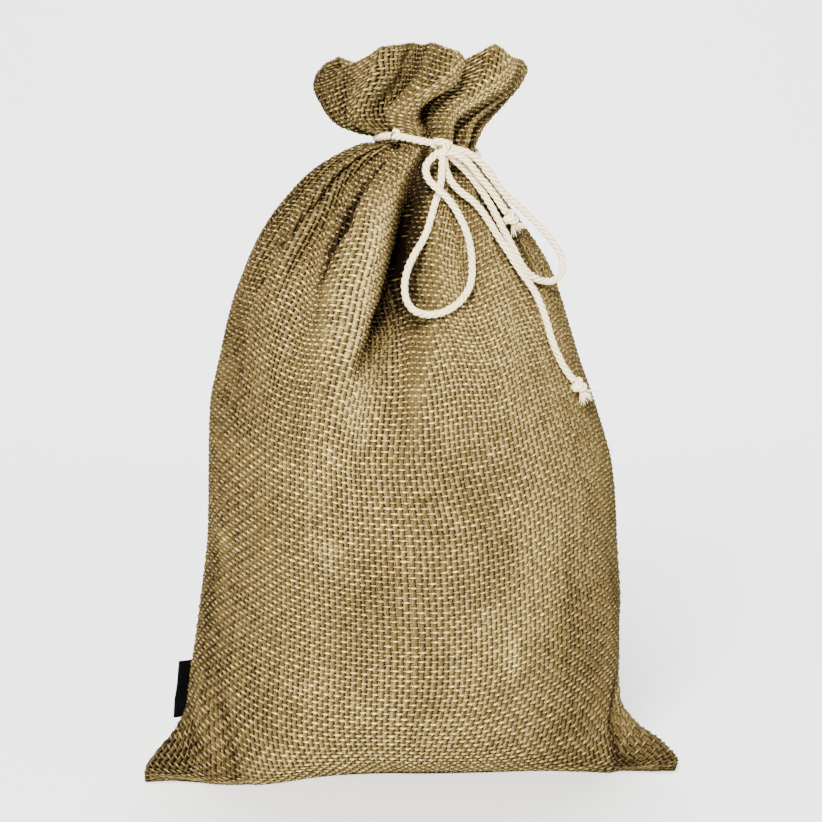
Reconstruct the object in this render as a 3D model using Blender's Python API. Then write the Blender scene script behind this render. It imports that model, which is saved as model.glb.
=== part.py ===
"""A filled-looking, standing jute gift pouch, tied at the neck with a twisted cotton cord."""

import math

import bmesh
import bpy
import numpy as np
from mathutils import Vector

MM = 0.001

# The bag as it is sewn: a flat bag 200 mm wide and about 300 mm high
CLOTH_ROUND = 400.0
CLOTH_HEIGHT = 303.0
CLOTH_THICK = 1.0
HEM_THICK = 1.6
HEM_STARTS = 284.0
GAP = 0.3

# Heights up the cloth of the pouch's rows of points
ROW_HEIGHTS = (
    2.5, 9, 18, 27, 37, 50, 70, 98, 126, 148, 168, 186, 202, 217, 231,
    242, 251, 258, 262.5, 267.5, 272, 278, 286, 295, CLOTH_HEIGHT,
)  # fmt: skip

# One row for each section of the standing pouch, in millimetres. up is the height up the cloth.
# left and right are the side seams, as x, y and z. front and back are the middles, as y and z.
# lens is the power of the plan's outline: under 2 it is pointed at the seams, over 2 boxy.
# crest says how steeply the side seams lift a section. inset is how far the hollow ends short of them.
SECTION_COLUMNS = (
    "up", "left_x", "left_y", "left_z", "right_x", "right_y", "right_z",
    "front_y", "front_z", "back_y", "back_z", "lens", "crest", "inset",
)  # fmt: skip
SECTIONS = (
    (0, -99.0, -22, 0, 100.0, -7, 0, 0, 0, 0, 0, 1.5, 4.0, 12),
    (9, -98.0, -21, 4, 99.5, -7, 4, -9, 0, 9, 0, 1.5, 4.0, 11),
    (18, -94.5, -17, 9, 95.0, -6, 9.5, -18, 0, 18, 0, 1.6, 4.0, 8),
    (27, -89.0, -12, 15, 86.5, -4, 15.5, -26, 0.2, 26, 0.2, 1.75, 3.8, 5),
    (37, -85.5, -8, 24, 80.5, -2, 24, -34.5, 4.5, 34, 4.5, 1.9, 3.2, 2.5),
    (50, -84.0, -4, 37, 79.8, 0, 37, -41.5, 15, 41, 15, 2.05, 2.6, 1.2),
    (70, -81.2, -1, 57, 80.9, 0, 57, -46, 35, 45.5, 35, 2.2, 2.2, 1.2),
    (98, -77.6, 0, 85, 78.0, 0, 85, -47, 63, 46.5, 63, 2.25, 2.0, 1.2),
    (126, -77.0, 0, 113, 76.2, 0, 113, -47, 91, 46.5, 91, 2.25, 2.0, 1.2),
    (148, -76.0, 0, 136, 70.0, 0, 135.5, -46.5, 113, 46, 113, 2.2, 2.0, 1.2),
    (168, -71.8, 0, 156, 62.8, 0, 155.5, -45, 134, 44.5, 134, 2.2, 2.0, 1.2),
    (186, -67.6, 0, 174, 57.2, 0, 173.5, -42.5, 153, 42, 153, 2.15, 2.0, 1.2),
    (202, -61.6, 0, 190, 52.0, 0, 189.5, -39.5, 170, 39, 170, 2.1, 2.0, 1.2),
    (217, -54.0, 0, 204.5, 43.0, 0, 203.5, -36, 186, 35.5, 186, 2.1, 2.0, 1.2),
    (231, -44.5, 0, 216.5, 35.0, 0, 214.5, -31.5, 202, 31, 202, 2.05, 2.0, 1.2),
    (242, -35.0, 0, 223.5, 30.0, 0, 221.5, -27.5, 214, 27, 214.5, 2.0, 2.0, 1.2),
    (251, -25.0, 0, 228.5, 27.2, 0, 225, -24, 223, 23.5, 224, 2.0, 2.0, 1.2),
    (258, -16.5, 0, 232, 26.0, 0, 228, -20.8, 229.5, 20, 230.5, 2.0, 2.0, 1.2),
    (262.5, -12.8, 0, 234.3, 25.2, 0, 230, -19.2, 233, 18.3, 234, 2.0, 2.0, 1.2),
    (267.5, -12.8, 0, 238.3, 25.4, 0, 234.3, -19.2, 237.8, 18.3, 238.3, 2.0, 2.0, 1.2),
    (272, -18.5, 0, 240.8, 26.8, 0, 238.5, -20, 242, 19, 242, 2.0, 2.0, 1.2),
    (278, -27.0, 0, 244, 30.5, 0, 244, -21.5, 247.5, 20.5, 247.5, 2.0, 2.0, 1.2),
    (286, -33.5, 0, 250, 36.0, 0, 250.5, -24, 254.5, 23, 254, 2.0, 2.0, 1.2),
    (295, -36.5, 0, 257, 41.5, 0, 257, -26, 262, 25.5, 261.5, 2.0, 2.0, 1.2),
    (303, -33.5, 0, 262.5, 44.0, 0, 262.5, -26, 268.5, 25, 267, 2.0, 2.0, 1.2),
)

# One row for each gathered valley. cloth is its place round the cloth from the left seam, by the front.
# The angles are its bearing about the section's middle, from the front, positive to the right.
# depths is how far it sinks in, at the heights up the cloth in FOLD_LEVELS, and power over 1 narrows it.
# bulge is how far the crest after it swells below the neck.
# top and crest_top are how far the hem rises at the valley and at the crest after it.
FOLD_LEVELS = (150, 168, 186, 202, 217, 231, 245, 262.5, 267.5, 278, 290, 303)
FOLD_COLUMNS = (
    "cloth", "steps", "angle_neck", "angle_top", "depths", "power", "bulge", "top", "crest_top",
)  # fmt: skip
FOLDS = (
    (0, 6, -90, -90, (0, 0, 0.3, 0.8, 1.5, 3, 5, 6.5, 6.5, 4, 2, 1), 1.4, 0, -1, -2),
    (27, 6, -70, -60, (0, 0, 0.8, 2.4, 4, 5, 6.5, 7.5, 7.5, 5, 3, 1.5), 1.4, 0, -2, -1),
    (51, 10, -50, -12, (0, 0.8, 2.5, 5, 8, 9.5, 10, 10, 10, 12, 15, 16), 0.9, 6.0, 2.5, 0),
    (94, 8, 13, 40, (0.5, 5, 14, 22, 25, 22, 15, 12, 12, 13, 15, 15), 1.2, 1.5, 1, -2),
    (126, 8, 43, 62, (0, 0, 0, 0, 0, 1, 5, 9, 9, 6, 3, 1.5), 1.4, 0, -1, 0),
    (156, 6, 68, 79, (0, 0.6, 1.6, 3, 5, 7, 8, 8, 8, 5, 3, 2.5), 1.2, 0, 0, -1),
    (184, 8, 90, 107, (0, 0, 0.5, 1.5, 3, 5, 6.5, 7.5, 7.5, 4, 1.5, 1), 1.4, 0, -1, 0),
    (216, 6, 114, 128, (0, 0, 1, 3, 5, 7, 8, 8.5, 8.5, 8, 7, 7), 1.2, 0, -1, 1),
    (244, 8, 138, 150, (0, 0.5, 2, 4, 6, 8, 9, 9.5, 9.5, 6, 3, 2), 1.4, 2, -1, 1),
    (276, 8, 166, 174, (0, 1, 3, 6, 9, 11, 11.5, 11.5, 11.5, 12, 13, 13), 1.1, 1, -2, 0),
    (308, 8, 195, 199, (0, 0, 1.2, 3, 5, 7, 9, 10.5, 10.5, 7, 3.5, 2.5), 1.4, 2, -1, 1),
    (340, 8, 222, 224, (0, 0.5, 2, 5, 7, 9, 10, 10.5, 10.5, 10, 10, 10), 1.2, 0, -2, -1),
    (373, 6, 248, 246, (0, 0, 0.8, 2, 4, 5.5, 7, 8, 8, 6, 4, 3), 1.4, 0, -1, -2),
)
BULGE_HEIGHT = 214.0
BULGE_SPREAD = 24.0
MEANDER = 0.6
TIED_POWER = 1.5
TIED_HEIGHT = 265.0
TIED_SPREAD = 14.0
ANGLES_LEAVE = 150.0
ANGLES_SET = 262.5
ANGLES_OPEN = 270.0

# The ears' toes: where the cloth beside a seam spreads on the surface in front of it.
# across is the place as a share of the half width, reach how far it spreads forwards.
TOE_COLUMNS = ("across", "reach", "spread")
TOES = ((-0.8, 17.0, 0.24), (0.92, 9.0, 0.16))
TOE_HEIGHT = 27.0
TOE_FADES = 26.0

# Three-strand twisted cotton cord. lay is the length of one turn of its strands.
CORD_RADIUS = 1.5
CORD_GROOVE = 1.22
CORD_LAY = 7.2
CORD_STRANDS = 3
CORD_RINGS = 6

# The cord's ring round the neck: its middle, radii, and its height at bearings from the front
RING_MIDDLE = (6.3, -0.45)
RING_RADII = (21.0, 20.7)
RING_COLUMNS = ("bearing", "height")
RING = (
    (28, 231.8), (45, 231.6), (70, 231.8), (95, 232.6), (120, 233.8), (150, 235.4), (180, 236.2),
    (210, 236.4), (240, 236.3), (270, 236.5), (292, 237.0), (315, 237.5), (335, 237.0), (350, 236.0),
    (363, 235.2),
)  # fmt: skip

# The bow's knot: its middle and radii, and the way each strand leaves it
KNOT = (11.8, -24.0, 232.8)
KNOT_RADII = (4.4, 3.9, 4.9)
KNOT_WRAPS = (((0.85, 0.1, 0.5), 0.13), ((-0.35, 0.3, 0.9), 0.09))
WRAP_WIDTH = 0.34
KNOT_CLEAR = 1.1

# The bow's loops and tails in millimetres. x runs to the right, y to the back and z up.
# The first point of each, and a loop's last, is only the way it leaves the knot.
LOOP_LEFT = (
    (-0.74, -0.5, -0.46),
    (5.4, -28.6, 226.0), (6.2, -30.2, 222.4), (8.7, -31.5, 219.4),
    (11.7, -31.7, 216.8), (14.6, -31.4, 213.6), (18.1, -30.6, 207.8), (20.8, -31.6, 201.2),
    (22.3, -34.4, 191.0), (21.8, -36.8, 184.8), (18.9, -39.4, 179.2), (14.0, -41.0, 175.2),
    (7.0, -41.0, 173.2), (0.6, -39.0, 175.0), (-2.2, -36.0, 180.5), (-1.6, -33.4, 187.8),
    (1.4, -31.4, 194.8), (5.2, -30.0, 201.4), (7.6, -29.2, 208.8), (9.5, -27.9, 215.2),
    (10.8, -27.2, 219.8), (11.3, -27.0, 224.0),
    (-0.1, -0.42, -0.9),
)  # fmt: skip
LOOP_RIGHT = (
    (0.93, 0.05, 0.3),
    (19.6, -22.9, 233.4), (24.0, -21.2, 230.9), (29.4, -18.8, 227.0), (35.5, -16.0, 220.9),
    (41.3, -13.8, 211.6), (46.4, -12.6, 204.6), (51.2, -11.6, 198.0), (55.4, -11.4, 191.4),
    (57.0, -12.8, 186.0), (55.2, -15.6, 181.6), (51.0, -18.8, 180.6), (46.8, -21.2, 183.4),
    (43.2, -22.6, 188.8), (38.8, -22.4, 196.0), (34.6, -21.4, 203.2), (30.6, -20.2, 210.6),
    (26.4, -18.8, 217.6), (22.0, -19.2, 223.4),
    (0.66, 0.42, -0.62),
)  # fmt: skip
TAIL_FRONT = (
    (0.12, 0.14, -0.98),
    (13.2, -23.2, 224.2), (15.4, -25.2, 220.2), (18.6, -25.2, 217.0), (21.9, -24.9, 214.5),
    (25.2, -24.2, 211.2), (28.6, -24.9, 206.4), (32.0, -26.0, 200.9), (35.7, -27.0, 195.4),
    (39.2, -27.2, 189.8), (43.2, -26.6, 184.2), (46.5, -25.6, 178.8), (48.8, -25.0, 173.2),
    (50.6, -25.0, 167.7), (52.2, -25.3, 162.2), (54.4, -25.6, 156.8), (57.2, -25.4, 151.6),
    (60.4, -25.0, 147.4),
)  # fmt: skip
TAIL_BACK = (
    (0.88, -0.42, -0.25),
    (20.6, -25.0, 228.4), (25.0, -22.8, 223.0), (29.4, -20.9, 217.9), (33.0, -19.6, 212.7),
    (35.4, -19.1, 209.2),
)  # fmt: skip
END_KNOT_RADIUS = 2.7
FRAY_STEPS = ((2.0, 0.85), (2.2, 0.7))
FRAY_STRANDS = 7

# The thread that holds the cord to the cloth, and the small loop label in the left seam
TACK_BEARING = 317.0
TACK_RADIUS = 0.3
TACK_SIDES = 6
TACK_REACH = 115.0
LABEL_FROM, LABEL_TO = 30.0, 51.5
LABEL_WIDE = 6.6
LABEL_THICK = 0.9
LABEL_ROOT = 1.05
LABEL_WAY = (-0.8, -0.6, 0.0)


def smoothstep(low, high, value):
    """0 below low and 1 above high, with a soft start and end."""
    share = np.clip((value - low) / (high - low), 0.0, 1.0)
    return share * share * (3.0 - 2.0 * share)


def curve_through(xs, ys, x):
    """A smooth curve through the given points that never overshoots them."""
    xs, ys = np.asarray(xs, float), np.asarray(ys, float)
    step = np.diff(xs)
    slope = np.diff(ys) / step
    tangent = np.empty(len(xs))
    tangent[0], tangent[-1] = slope[0], slope[-1]
    same_way = slope[:-1] * slope[1:] > 0
    weighted = (step[:-1] + step[1:]) * 3.0
    first, second = 2.0 * step[1:] + step[:-1], step[1:] + 2.0 * step[:-1]
    with np.errstate(divide="ignore", invalid="ignore"):
        harmonic = weighted / (first / slope[:-1] + second / slope[1:])
    tangent[1:-1] = np.where(same_way, harmonic, 0.0)
    i = np.clip(np.searchsorted(xs, x, side="right") - 1, 0, len(step) - 1)
    t = (np.clip(x, xs[0], xs[-1]) - xs[i]) / step[i]
    return (
        ys[i] * (1 + 2 * t) * (1 - t) ** 2
        + tangent[i] * step[i] * t * (1 - t) ** 2
        + ys[i + 1] * t * t * (3 - 2 * t)
        + tangent[i + 1] * step[i] * t * t * (t - 1)
    )


def section_value(name, up):
    """A column of SECTIONS, read at any height up the cloth."""
    column = SECTION_COLUMNS.index(name)
    return curve_through([row[0] for row in SECTIONS], [row[column] for row in SECTIONS], up)


def natural_bearing(cloth, up):
    """Where a place round the cloth lies about a section's middle, from the front, with no folds."""
    half = CLOTH_ROUND / 2
    bearings = np.linspace(-math.pi / 2, math.pi / 2, 181)
    belly = np.cumsum(np.hypot(77 * np.cos(bearings), 46 * np.sin(bearings)))
    belly = half * (belly - belly[0]) / (belly[-1] - belly[0])
    place = np.mod(cloth, half)
    round_bearing = np.interp(place, belly, bearings)
    flat_bearing = np.arcsin(np.clip(2 * place / half - 1, -1, 1))
    full = smoothstep(0.0, 55.0, up)
    return full * round_bearing + (1 - full) * flat_bearing + math.pi * np.floor(cloth / half)


def fold_columns():
    """The valleys' places and columns, with one more valley on each side to close the ring."""
    rows = [dict(zip(FOLD_COLUMNS, row)) for row in FOLDS]
    before, after = dict(rows[-1]), dict(rows[0])
    before["cloth"] -= CLOTH_ROUND
    after["cloth"] += CLOTH_ROUND
    for name in ("angle_neck", "angle_top"):
        before[name] -= 360.0
        after[name] += 360.0
    return [before, *rows, after]


def pouch_point(cloth, up):
    """The outside of the pouch, in millimetres, at a place round the cloth and a height up it."""
    cloth = np.mod(np.asarray(cloth, float), CLOTH_ROUND)
    up = np.asarray(up, float) + np.zeros_like(cloth)
    folds = fold_columns()
    places = np.array([fold["cloth"] for fold in folds])
    left = np.clip(np.searchsorted(places, cloth, side="right") - 1, 0, len(folds) - 2)
    gathered = smoothstep(ANGLES_LEAVE, ANGLES_SET, up)
    opened = smoothstep(ANGLES_OPEN, CLOTH_HEIGHT - 8, up)
    bearing, depth, rise, shape = [], [], [], []
    for fold in folds:
        natural = natural_bearing(fold["cloth"] + CLOTH_ROUND, up) - 2 * math.pi
        tied = np.radians(fold["angle_neck"] * (1 - opened) + fold["angle_top"] * opened)
        bearing.append(natural + (tied - natural) * gathered)
        depth.append(curve_through(FOLD_LEVELS, fold["depths"], up))
        rise.append((fold["top"], fold["crest_top"]))
        shape.append((fold["power"], fold["bulge"]))
    bearing, depth, rise, shape = (np.array(row) for row in (bearing, depth, rise, shape))
    spot = np.arange(len(cloth))
    share = (cloth - places[left]) / (places[left + 1] - places[left])
    low, high = bearing[left, spot], bearing[left + 1, spot]
    natural = natural_bearing(cloth, up)
    natural_low = natural_bearing(places[left] + CLOTH_ROUND, up) - 2 * math.pi
    natural_high = natural_bearing(places[left + 1] + CLOTH_ROUND, up) - 2 * math.pi
    soft = share * share * (3 - 2 * share)
    eased = 0.5 * share + 0.5 * soft
    angle = natural + (low - natural_low) * (1 - eased) + (high - natural_high) * eased
    sunk = np.where(share < 0.5, depth[left, spot], depth[left + 1, spot])
    wide = (high - low) * 25.0
    stiff = MEANDER * sunk / (sunk + 0.3 * wide)
    angle = angle + (high - low) * stiff * np.sin(4 * math.pi * share) / (4 * math.pi)
    power = np.where(share < 0.5, shape[left, 0], shape[left + 1, 0])
    power = power + (TIED_POWER - power) * np.exp(-(((up - TIED_HEIGHT) / TIED_SPREAD) ** 2))
    crest_share = (1 - np.cos(2 * math.pi * share)) / 2
    swell = shape[left, 1] * np.exp(-(((up - BULGE_HEIGHT) / BULGE_SPREAD) ** 2))
    sunk = sunk * (1 - crest_share) ** power - swell * crest_share

    value = {name: section_value(name, up) for name in SECTION_COLUMNS[1:]}
    across, deep = np.sin(angle), -np.cos(angle)
    middle_x = (value["left_x"] + value["right_x"]) / 2
    middle_y = (value["front_y"] + value["back_y"]) / 2
    reach_x = (value["right_x"] - value["left_x"]) / 2
    reach_y = (value["back_y"] - value["front_y"]) / 2
    x = reach_x * np.sign(across) * np.abs(across) ** (2 / value["lens"])
    y = reach_y * np.sign(deep) * np.abs(deep) ** (2 / value["lens"])
    far = np.maximum(np.hypot(x, y), 1e-6)
    keep = 1 - sunk / far
    seam_y = np.where(across < 0, value["left_y"], value["right_y"])
    seam_z = np.where(across < 0, value["left_z"], value["right_z"])
    middle_z = np.where(deep < 0, value["front_z"], value["back_z"])
    for row in TOES:
        toe = dict(zip(TOE_COLUMNS, row))
        near = np.exp(-(((across - toe["across"]) / toe["spread"]) ** 2))
        in_front = np.sqrt(np.maximum(-deep, 0.0))
        y = y - toe["reach"] * near * in_front * np.exp(-(((up - TOE_HEIGHT) / TOE_FADES) ** 2))
    foot = 0.6 * (1 - smoothstep(20.0, 60.0, up))
    lift = (np.maximum(np.abs(across) - foot, 0.0) / (1 - foot)) ** value["crest"]
    valley_rise = np.where(share < 0.5, rise[left, 0], rise[left + 1, 0])
    hem = valley_rise * (1 - crest_share) + rise[left, 1] * crest_share
    return np.stack(
        [
            middle_x + x * keep,
            middle_y + y * keep + seam_y * np.abs(across) ** 2,
            middle_z + (seam_z - middle_z) * lift + hem * smoothstep(272.0, CLOTH_HEIGHT, up),
        ],
        axis=-1,
    )


def pouch_normal(cloth, up):
    """The outward normal of the outside of the pouch."""
    small = 0.05
    up = np.clip(np.asarray(up, float), small, CLOTH_HEIGHT - small)
    round_way = pouch_point(cloth + small, up) - pouch_point(cloth - small, up)
    up_way = pouch_point(cloth, up + small) - pouch_point(cloth, up - small)
    normal = np.cross(round_way, up_way)
    return normal / np.maximum(np.linalg.norm(normal, axis=-1, keepdims=True), 1e-12)


def clear_scene():
    """Removes whatever the file started with."""
    for old in list(bpy.data.objects):
        bpy.data.objects.remove(old, do_unlink=True)


def make_material(name, color, roughness):
    """A plain Principled material."""
    material = bpy.data.materials.new(name)
    material.use_nodes = True
    shader = material.node_tree.nodes["Principled BSDF"]
    shader.inputs["Base Color"].default_value = (*color, 1.0)
    shader.inputs["Roughness"].default_value = roughness
    shader.inputs["Metallic"].default_value = 0.0
    return material


def add_object(name, mesh_data, material, smooth=True):
    """Turns a bmesh in millimetres into an object in metres."""
    bmesh.ops.scale(mesh_data, vec=(MM, MM, MM), verts=mesh_data.verts)
    mesh = bpy.data.meshes.new(name)
    mesh_data.to_mesh(mesh)
    mesh_data.free()
    mesh.materials.append(material)
    if smooth:
        mesh.shade_smooth()
        mesh.set_sharp_from_angle(angle=math.radians(60))
    thing = bpy.data.objects.new(name, mesh)
    bpy.context.scene.collection.objects.link(thing)
    return thing


def add_ring(mesh_data, points):
    """Adds a row of points."""
    return [mesh_data.verts.new(point) for point in points]


def join_rows(mesh_data, lower, upper, outward):
    """Joins two closed rows of points by a band of four-sided faces."""
    count = len(lower)
    for i in range(count):
        j = (i + 1) % count
        corners = [lower[i], lower[j], upper[j], upper[i]]
        corners = [v for k, v in enumerate(corners) if v is not corners[k - 1]]
        if len(corners) > 2:
            mesh_data.faces.new(corners if outward else corners[::-1])


def wall_columns():
    """The columns of the wall's points: even steps from each valley to the next, so that each has one."""
    folds = fold_columns()
    columns = []
    for fold, following in zip(folds[1:-1], folds[2:]):
        steps = np.arange(fold["steps"]) / fold["steps"]
        columns.extend(fold["cloth"] + (following["cloth"] - fold["cloth"]) * steps)
    return np.array(columns)


def make_pouch(material):
    """The sewn bag as one thin wall: the outside, the hollow inside and the hem between them."""
    shell = bmesh.new()
    cloth = wall_columns()
    rims = []
    for inside in (False, True):
        rows = []
        for height in ROW_HEIGHTS:
            up = np.full(len(cloth), float(height))
            points = inner_points(cloth, up) if inside else pouch_point(cloth, up)
            rows.append(add_ring(shell, points))
        for lower, upper in zip(rows, rows[1:]):
            join_rows(shell, lower, upper, outward=not inside)
        shell.faces.new(rows[0] if inside else rows[0][::-1])
        rims.append(rows[-1])
    join_rows(shell, rims[0], rims[1], outward=True)
    bmesh.ops.triangulate(shell, faces=shell.faces[:])
    return add_object("pouch", shell, material)


def inner_points(cloth, up):
    """The hollow's side of the wall. It stops short of the pointed ears, where the two layers meet."""
    thick = CLOTH_THICK + (HEM_THICK - CLOTH_THICK) * smoothstep(HEM_STARTS, HEM_STARTS + 6, up)
    inner = pouch_point(cloth, up) - pouch_normal(cloth, up) * thick[:, None]
    across = np.sin(natural_bearing(cloth, up))
    inner[:, 0] -= (section_value("inset", up) - CLOTH_THICK) * np.sign(across) * np.abs(across) ** 8
    inner[:, 2] = np.maximum(inner[:, 2], CLOTH_THICK)
    return inner


def smooth_route(points, spacing):
    """Points at even spacing along a natural cubic curve through a route, with both its ends."""
    points = np.asarray(points, float)
    knots = np.concatenate([[0.0], np.cumsum(np.linalg.norm(np.diff(points, axis=0), axis=1))])
    step = np.diff(knots)
    count = len(points)
    matrix, right = np.eye(count), np.zeros((count, 3))
    for i in range(1, count - 1):
        matrix[i, i - 1 : i + 2] = step[i - 1], 2 * (step[i - 1] + step[i]), step[i]
        rise = (points[i + 1] - points[i]) / step[i] - (points[i] - points[i - 1]) / step[i - 1]
        right[i] = 6 * rise
    bend = np.linalg.solve(matrix, right)
    fine = np.linspace(0.0, knots[-1], int(knots[-1] * 20))
    i = np.clip(np.searchsorted(knots, fine, side="right") - 1, 0, count - 2)
    a, b, h = (knots[i + 1] - fine)[:, None], (fine - knots[i])[:, None], step[i][:, None]
    curve = (
        (bend[i] * a**3 + bend[i + 1] * b**3) / (6 * h)
        + (points[i] / h - bend[i] * h / 6) * a
        + (points[i + 1] / h - bend[i + 1] * h / 6) * b
    )
    along = np.concatenate([[0.0], np.cumsum(np.linalg.norm(np.diff(curve, axis=0), axis=1))])
    even = np.linspace(0.0, along[-1], max(2, round(along[-1] / spacing) + 1))
    return np.stack([np.interp(even, along, curve[:, k]) for k in range(3)], axis=-1)


def frames_along(path):
    """Two directions across a path at each of its points, which don't turn about it."""
    tangents = np.gradient(path, axis=0)
    tangents /= np.linalg.norm(tangents, axis=1, keepdims=True)
    side = np.cross(tangents[0], (0.3, 0.5, 0.8))
    sides = []
    for tangent in tangents:
        side = side - tangent * np.dot(side, tangent)
        side = side / np.linalg.norm(side)
        sides.append(side)
    sides = np.array(sides)
    return sides, np.cross(tangents, sides)


def make_tube(name, path, radii, turn, material):
    """A tube along a path, with one radius for each of its corners. It turns a little at each point."""
    sides, others = frames_along(path)
    tube = bmesh.new()
    rings = []
    for number, point in enumerate(path):
        ring = []
        for corner, radius in enumerate(radii):
            angle = turn * number + 2 * math.pi * corner / len(radii)
            across = sides[number] * math.cos(angle) + others[number] * math.sin(angle)
            ring.append(point + across * radius)
        rings.append(add_ring(tube, ring))
    for lower, upper in zip(rings, rings[1:]):
        join_rows(tube, lower, upper, outward=True)
    tube.faces.new(rings[0][::-1])
    tube.faces.new(rings[-1])
    bmesh.ops.triangulate(tube, faces=tube.faces[:])
    bmesh.ops.recalc_face_normals(tube, faces=tube.faces[:])
    return add_object(name, tube, material)


def make_cord(name, route, material):
    """A twisted cord's solid: a tube with a groove between each two of its strands."""
    path = smooth_route(route, CORD_LAY / CORD_RINGS)
    radii = (CORD_RADIUS, CORD_GROOVE) * CORD_STRANDS
    return make_tube(name, path, radii, 2 * math.pi / CORD_RINGS, material)


def knot_reach(way, radii, wraps):
    """How far a knot reaches from its middle along a direction. Its wraps stand out as bands."""
    way = Vector(way).normalized()
    reach = 1 / math.sqrt(sum((way[k] / radii[k]) ** 2 for k in range(3)))
    for axis, height in wraps:
        off = way.dot(Vector(axis).normalized()) / WRAP_WIDTH
        reach *= 1 + height * math.exp(-off * off)
    return reach


def knot_exit(way):
    """Where a strand's solid starts outside the bow's knot."""
    way = Vector(way).normalized()
    return tuple(Vector(KNOT) + way * (knot_reach(way, KNOT_RADII, KNOT_WRAPS) + KNOT_CLEAR))


def make_bow_knot(material):
    """The knot in the middle of the bow, with its two wraps."""
    knot = bmesh.new()
    bmesh.ops.create_icosphere(knot, subdivisions=3, radius=1.0)
    for vertex in knot.verts:
        way = vertex.co.normalized()
        vertex.co = Vector(KNOT) + way * knot_reach(way, KNOT_RADII, KNOT_WRAPS)
    return add_object("bow_knot", knot, material)


def make_end_knot(name, tail, material):
    """The overhand knot at a tail's end, with the frayed strands of the cord's end grown from it."""
    path = smooth_route(tail, CORD_LAY / CORD_RINGS)
    onward = Vector(path[-1] - path[-3]).normalized()
    middle = Vector(path[-1]) + onward * (END_KNOT_RADIUS + GAP)
    radii = (END_KNOT_RADIUS,) * 3
    wraps = ((tuple(onward.orthogonal() + onward * 0.6), 0.12),)
    knot = bmesh.new()
    bmesh.ops.create_icosphere(knot, subdivisions=2, radius=1.0)
    for vertex in knot.verts:
        way = vertex.co.normalized()
        vertex.co = middle + way * knot_reach(way, radii, wraps)
    knot.normal_update()
    ends = sorted(knot.faces, key=lambda face: -face.normal.dot(onward))
    chosen, used = [], set()
    for face in ends:
        corners = set(face.verts)
        if len(chosen) < FRAY_STRANDS and not corners & used:
            chosen.append(face)
            used |= corners
    for length, keep in FRAY_STEPS:
        grown = bmesh.ops.extrude_discrete_faces(knot, faces=chosen)["faces"]
        for face in grown:
            centre = face.calc_center_median()
            way = (centre - middle).normalized() * 0.55 + onward
            for vertex in face.verts:
                vertex.co = centre + (vertex.co - centre) * keep + way.normalized() * length
        chosen = grown
    return add_object(name, knot, material)


def ring_point(bearing):
    """A point of the cord's ring round the neck."""
    turn = math.radians(bearing)
    height = curve_through([row[0] for row in RING], [row[1] for row in RING], bearing)
    x = RING_MIDDLE[0] + RING_RADII[0] * math.sin(turn)
    y = RING_MIDDLE[1] - RING_RADII[1] * math.cos(turn)
    return (x, y, float(height))


def make_thread_tack(material):
    """A loop of thread over the cord, which ties it to the cloth on both sides of it."""
    middle = np.array(ring_point(TACK_BEARING))
    outward = middle - (*RING_MIDDLE, middle[2])
    outward /= np.linalg.norm(outward)
    reach = CORD_RADIUS + GAP + TACK_RADIUS
    turns = np.radians(np.linspace(-TACK_REACH, TACK_REACH, 15))[:, None]
    path = middle + reach * (outward * np.cos(turns) + np.array((0.0, 0.0, 1.0)) * np.sin(turns))
    return make_tube("thread_tack", path, (TACK_RADIUS,) * TACK_SIDES, 0.0, material)


def make_label(material):
    """The loop label: a folded ribbon that stands out of the left seam, rounded at its fold."""
    outward = np.array(LABEL_WAY) / np.linalg.norm(LABEL_WAY)
    across = np.array((-outward[1], outward[0], 0.0))
    half = LABEL_THICK / 2
    outline = (
        (LABEL_ROOT, -half), (LABEL_WIDE - half, -half), (LABEL_WIDE - 0.1, -half / 2),
        (LABEL_WIDE - 0.1, half / 2), (LABEL_WIDE - half, half), (LABEL_ROOT, half),
    )  # fmt: skip
    ribbon = bmesh.new()
    rows = []
    for up in np.linspace(LABEL_FROM, LABEL_TO, 7):
        root = pouch_point(np.array([0.0]), np.array([up]))[0]
        rows.append(add_ring(ribbon, [root + outward * out + across * side for out, side in outline]))
    for lower, upper in zip(rows, rows[1:]):
        join_rows(ribbon, lower, upper, outward=True)
    ribbon.faces.new(rows[0][::-1])
    ribbon.faces.new(rows[-1])
    bmesh.ops.triangulate(ribbon, faces=ribbon.faces[:])
    bmesh.ops.recalc_face_normals(ribbon, faces=ribbon.faces[:])
    return add_object("side_label", ribbon, material, smooth=False)


def cord_routes():
    """Each cord solid's route, with its ends set just outside the knot."""
    ring = [ring_point(bearing) for bearing in np.linspace(RING[0][0], RING[-1][0], 40)]
    return {
        "neck_cord": ring,
        "loop_left": [knot_exit(LOOP_LEFT[0]), *LOOP_LEFT[1:-1], knot_exit(LOOP_LEFT[-1])],
        "loop_right": [knot_exit(LOOP_RIGHT[0]), *LOOP_RIGHT[1:-1], knot_exit(LOOP_RIGHT[-1])],
        "tail_front": [knot_exit(TAIL_FRONT[0]), *TAIL_FRONT[1:]],
        "tail_back": [knot_exit(TAIL_BACK[0]), *TAIL_BACK[1:]],
    }


def build():
    """Makes every piece of the pouch."""
    clear_scene()
    jute = make_material("jute_hessian", (0.42, 0.29, 0.13), 0.9)
    cotton = make_material("cotton_cord", (0.86, 0.82, 0.70), 0.85)
    ribbon = make_material("label_ribbon", (0.012, 0.012, 0.014), 0.7)
    thread = make_material("tack_thread", (0.50, 0.50, 0.42), 0.8)
    make_pouch(jute)
    make_label(ribbon)
    make_thread_tack(thread)
    routes = cord_routes()
    for name, route in routes.items():
        make_cord(name, route, cotton)
    make_bow_knot(cotton)
    make_end_knot("end_knot_front", routes["tail_front"], cotton)
    make_end_knot("end_knot_back", routes["tail_back"], cotton)


if __name__ == "__main__":
    build()
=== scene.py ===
"""Looks of a standing jute gift pouch: woven hessian, a twisted cotton bow and a bare loop label."""

import logging
import math
from dataclasses import dataclass, field
from enum import Enum

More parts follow.
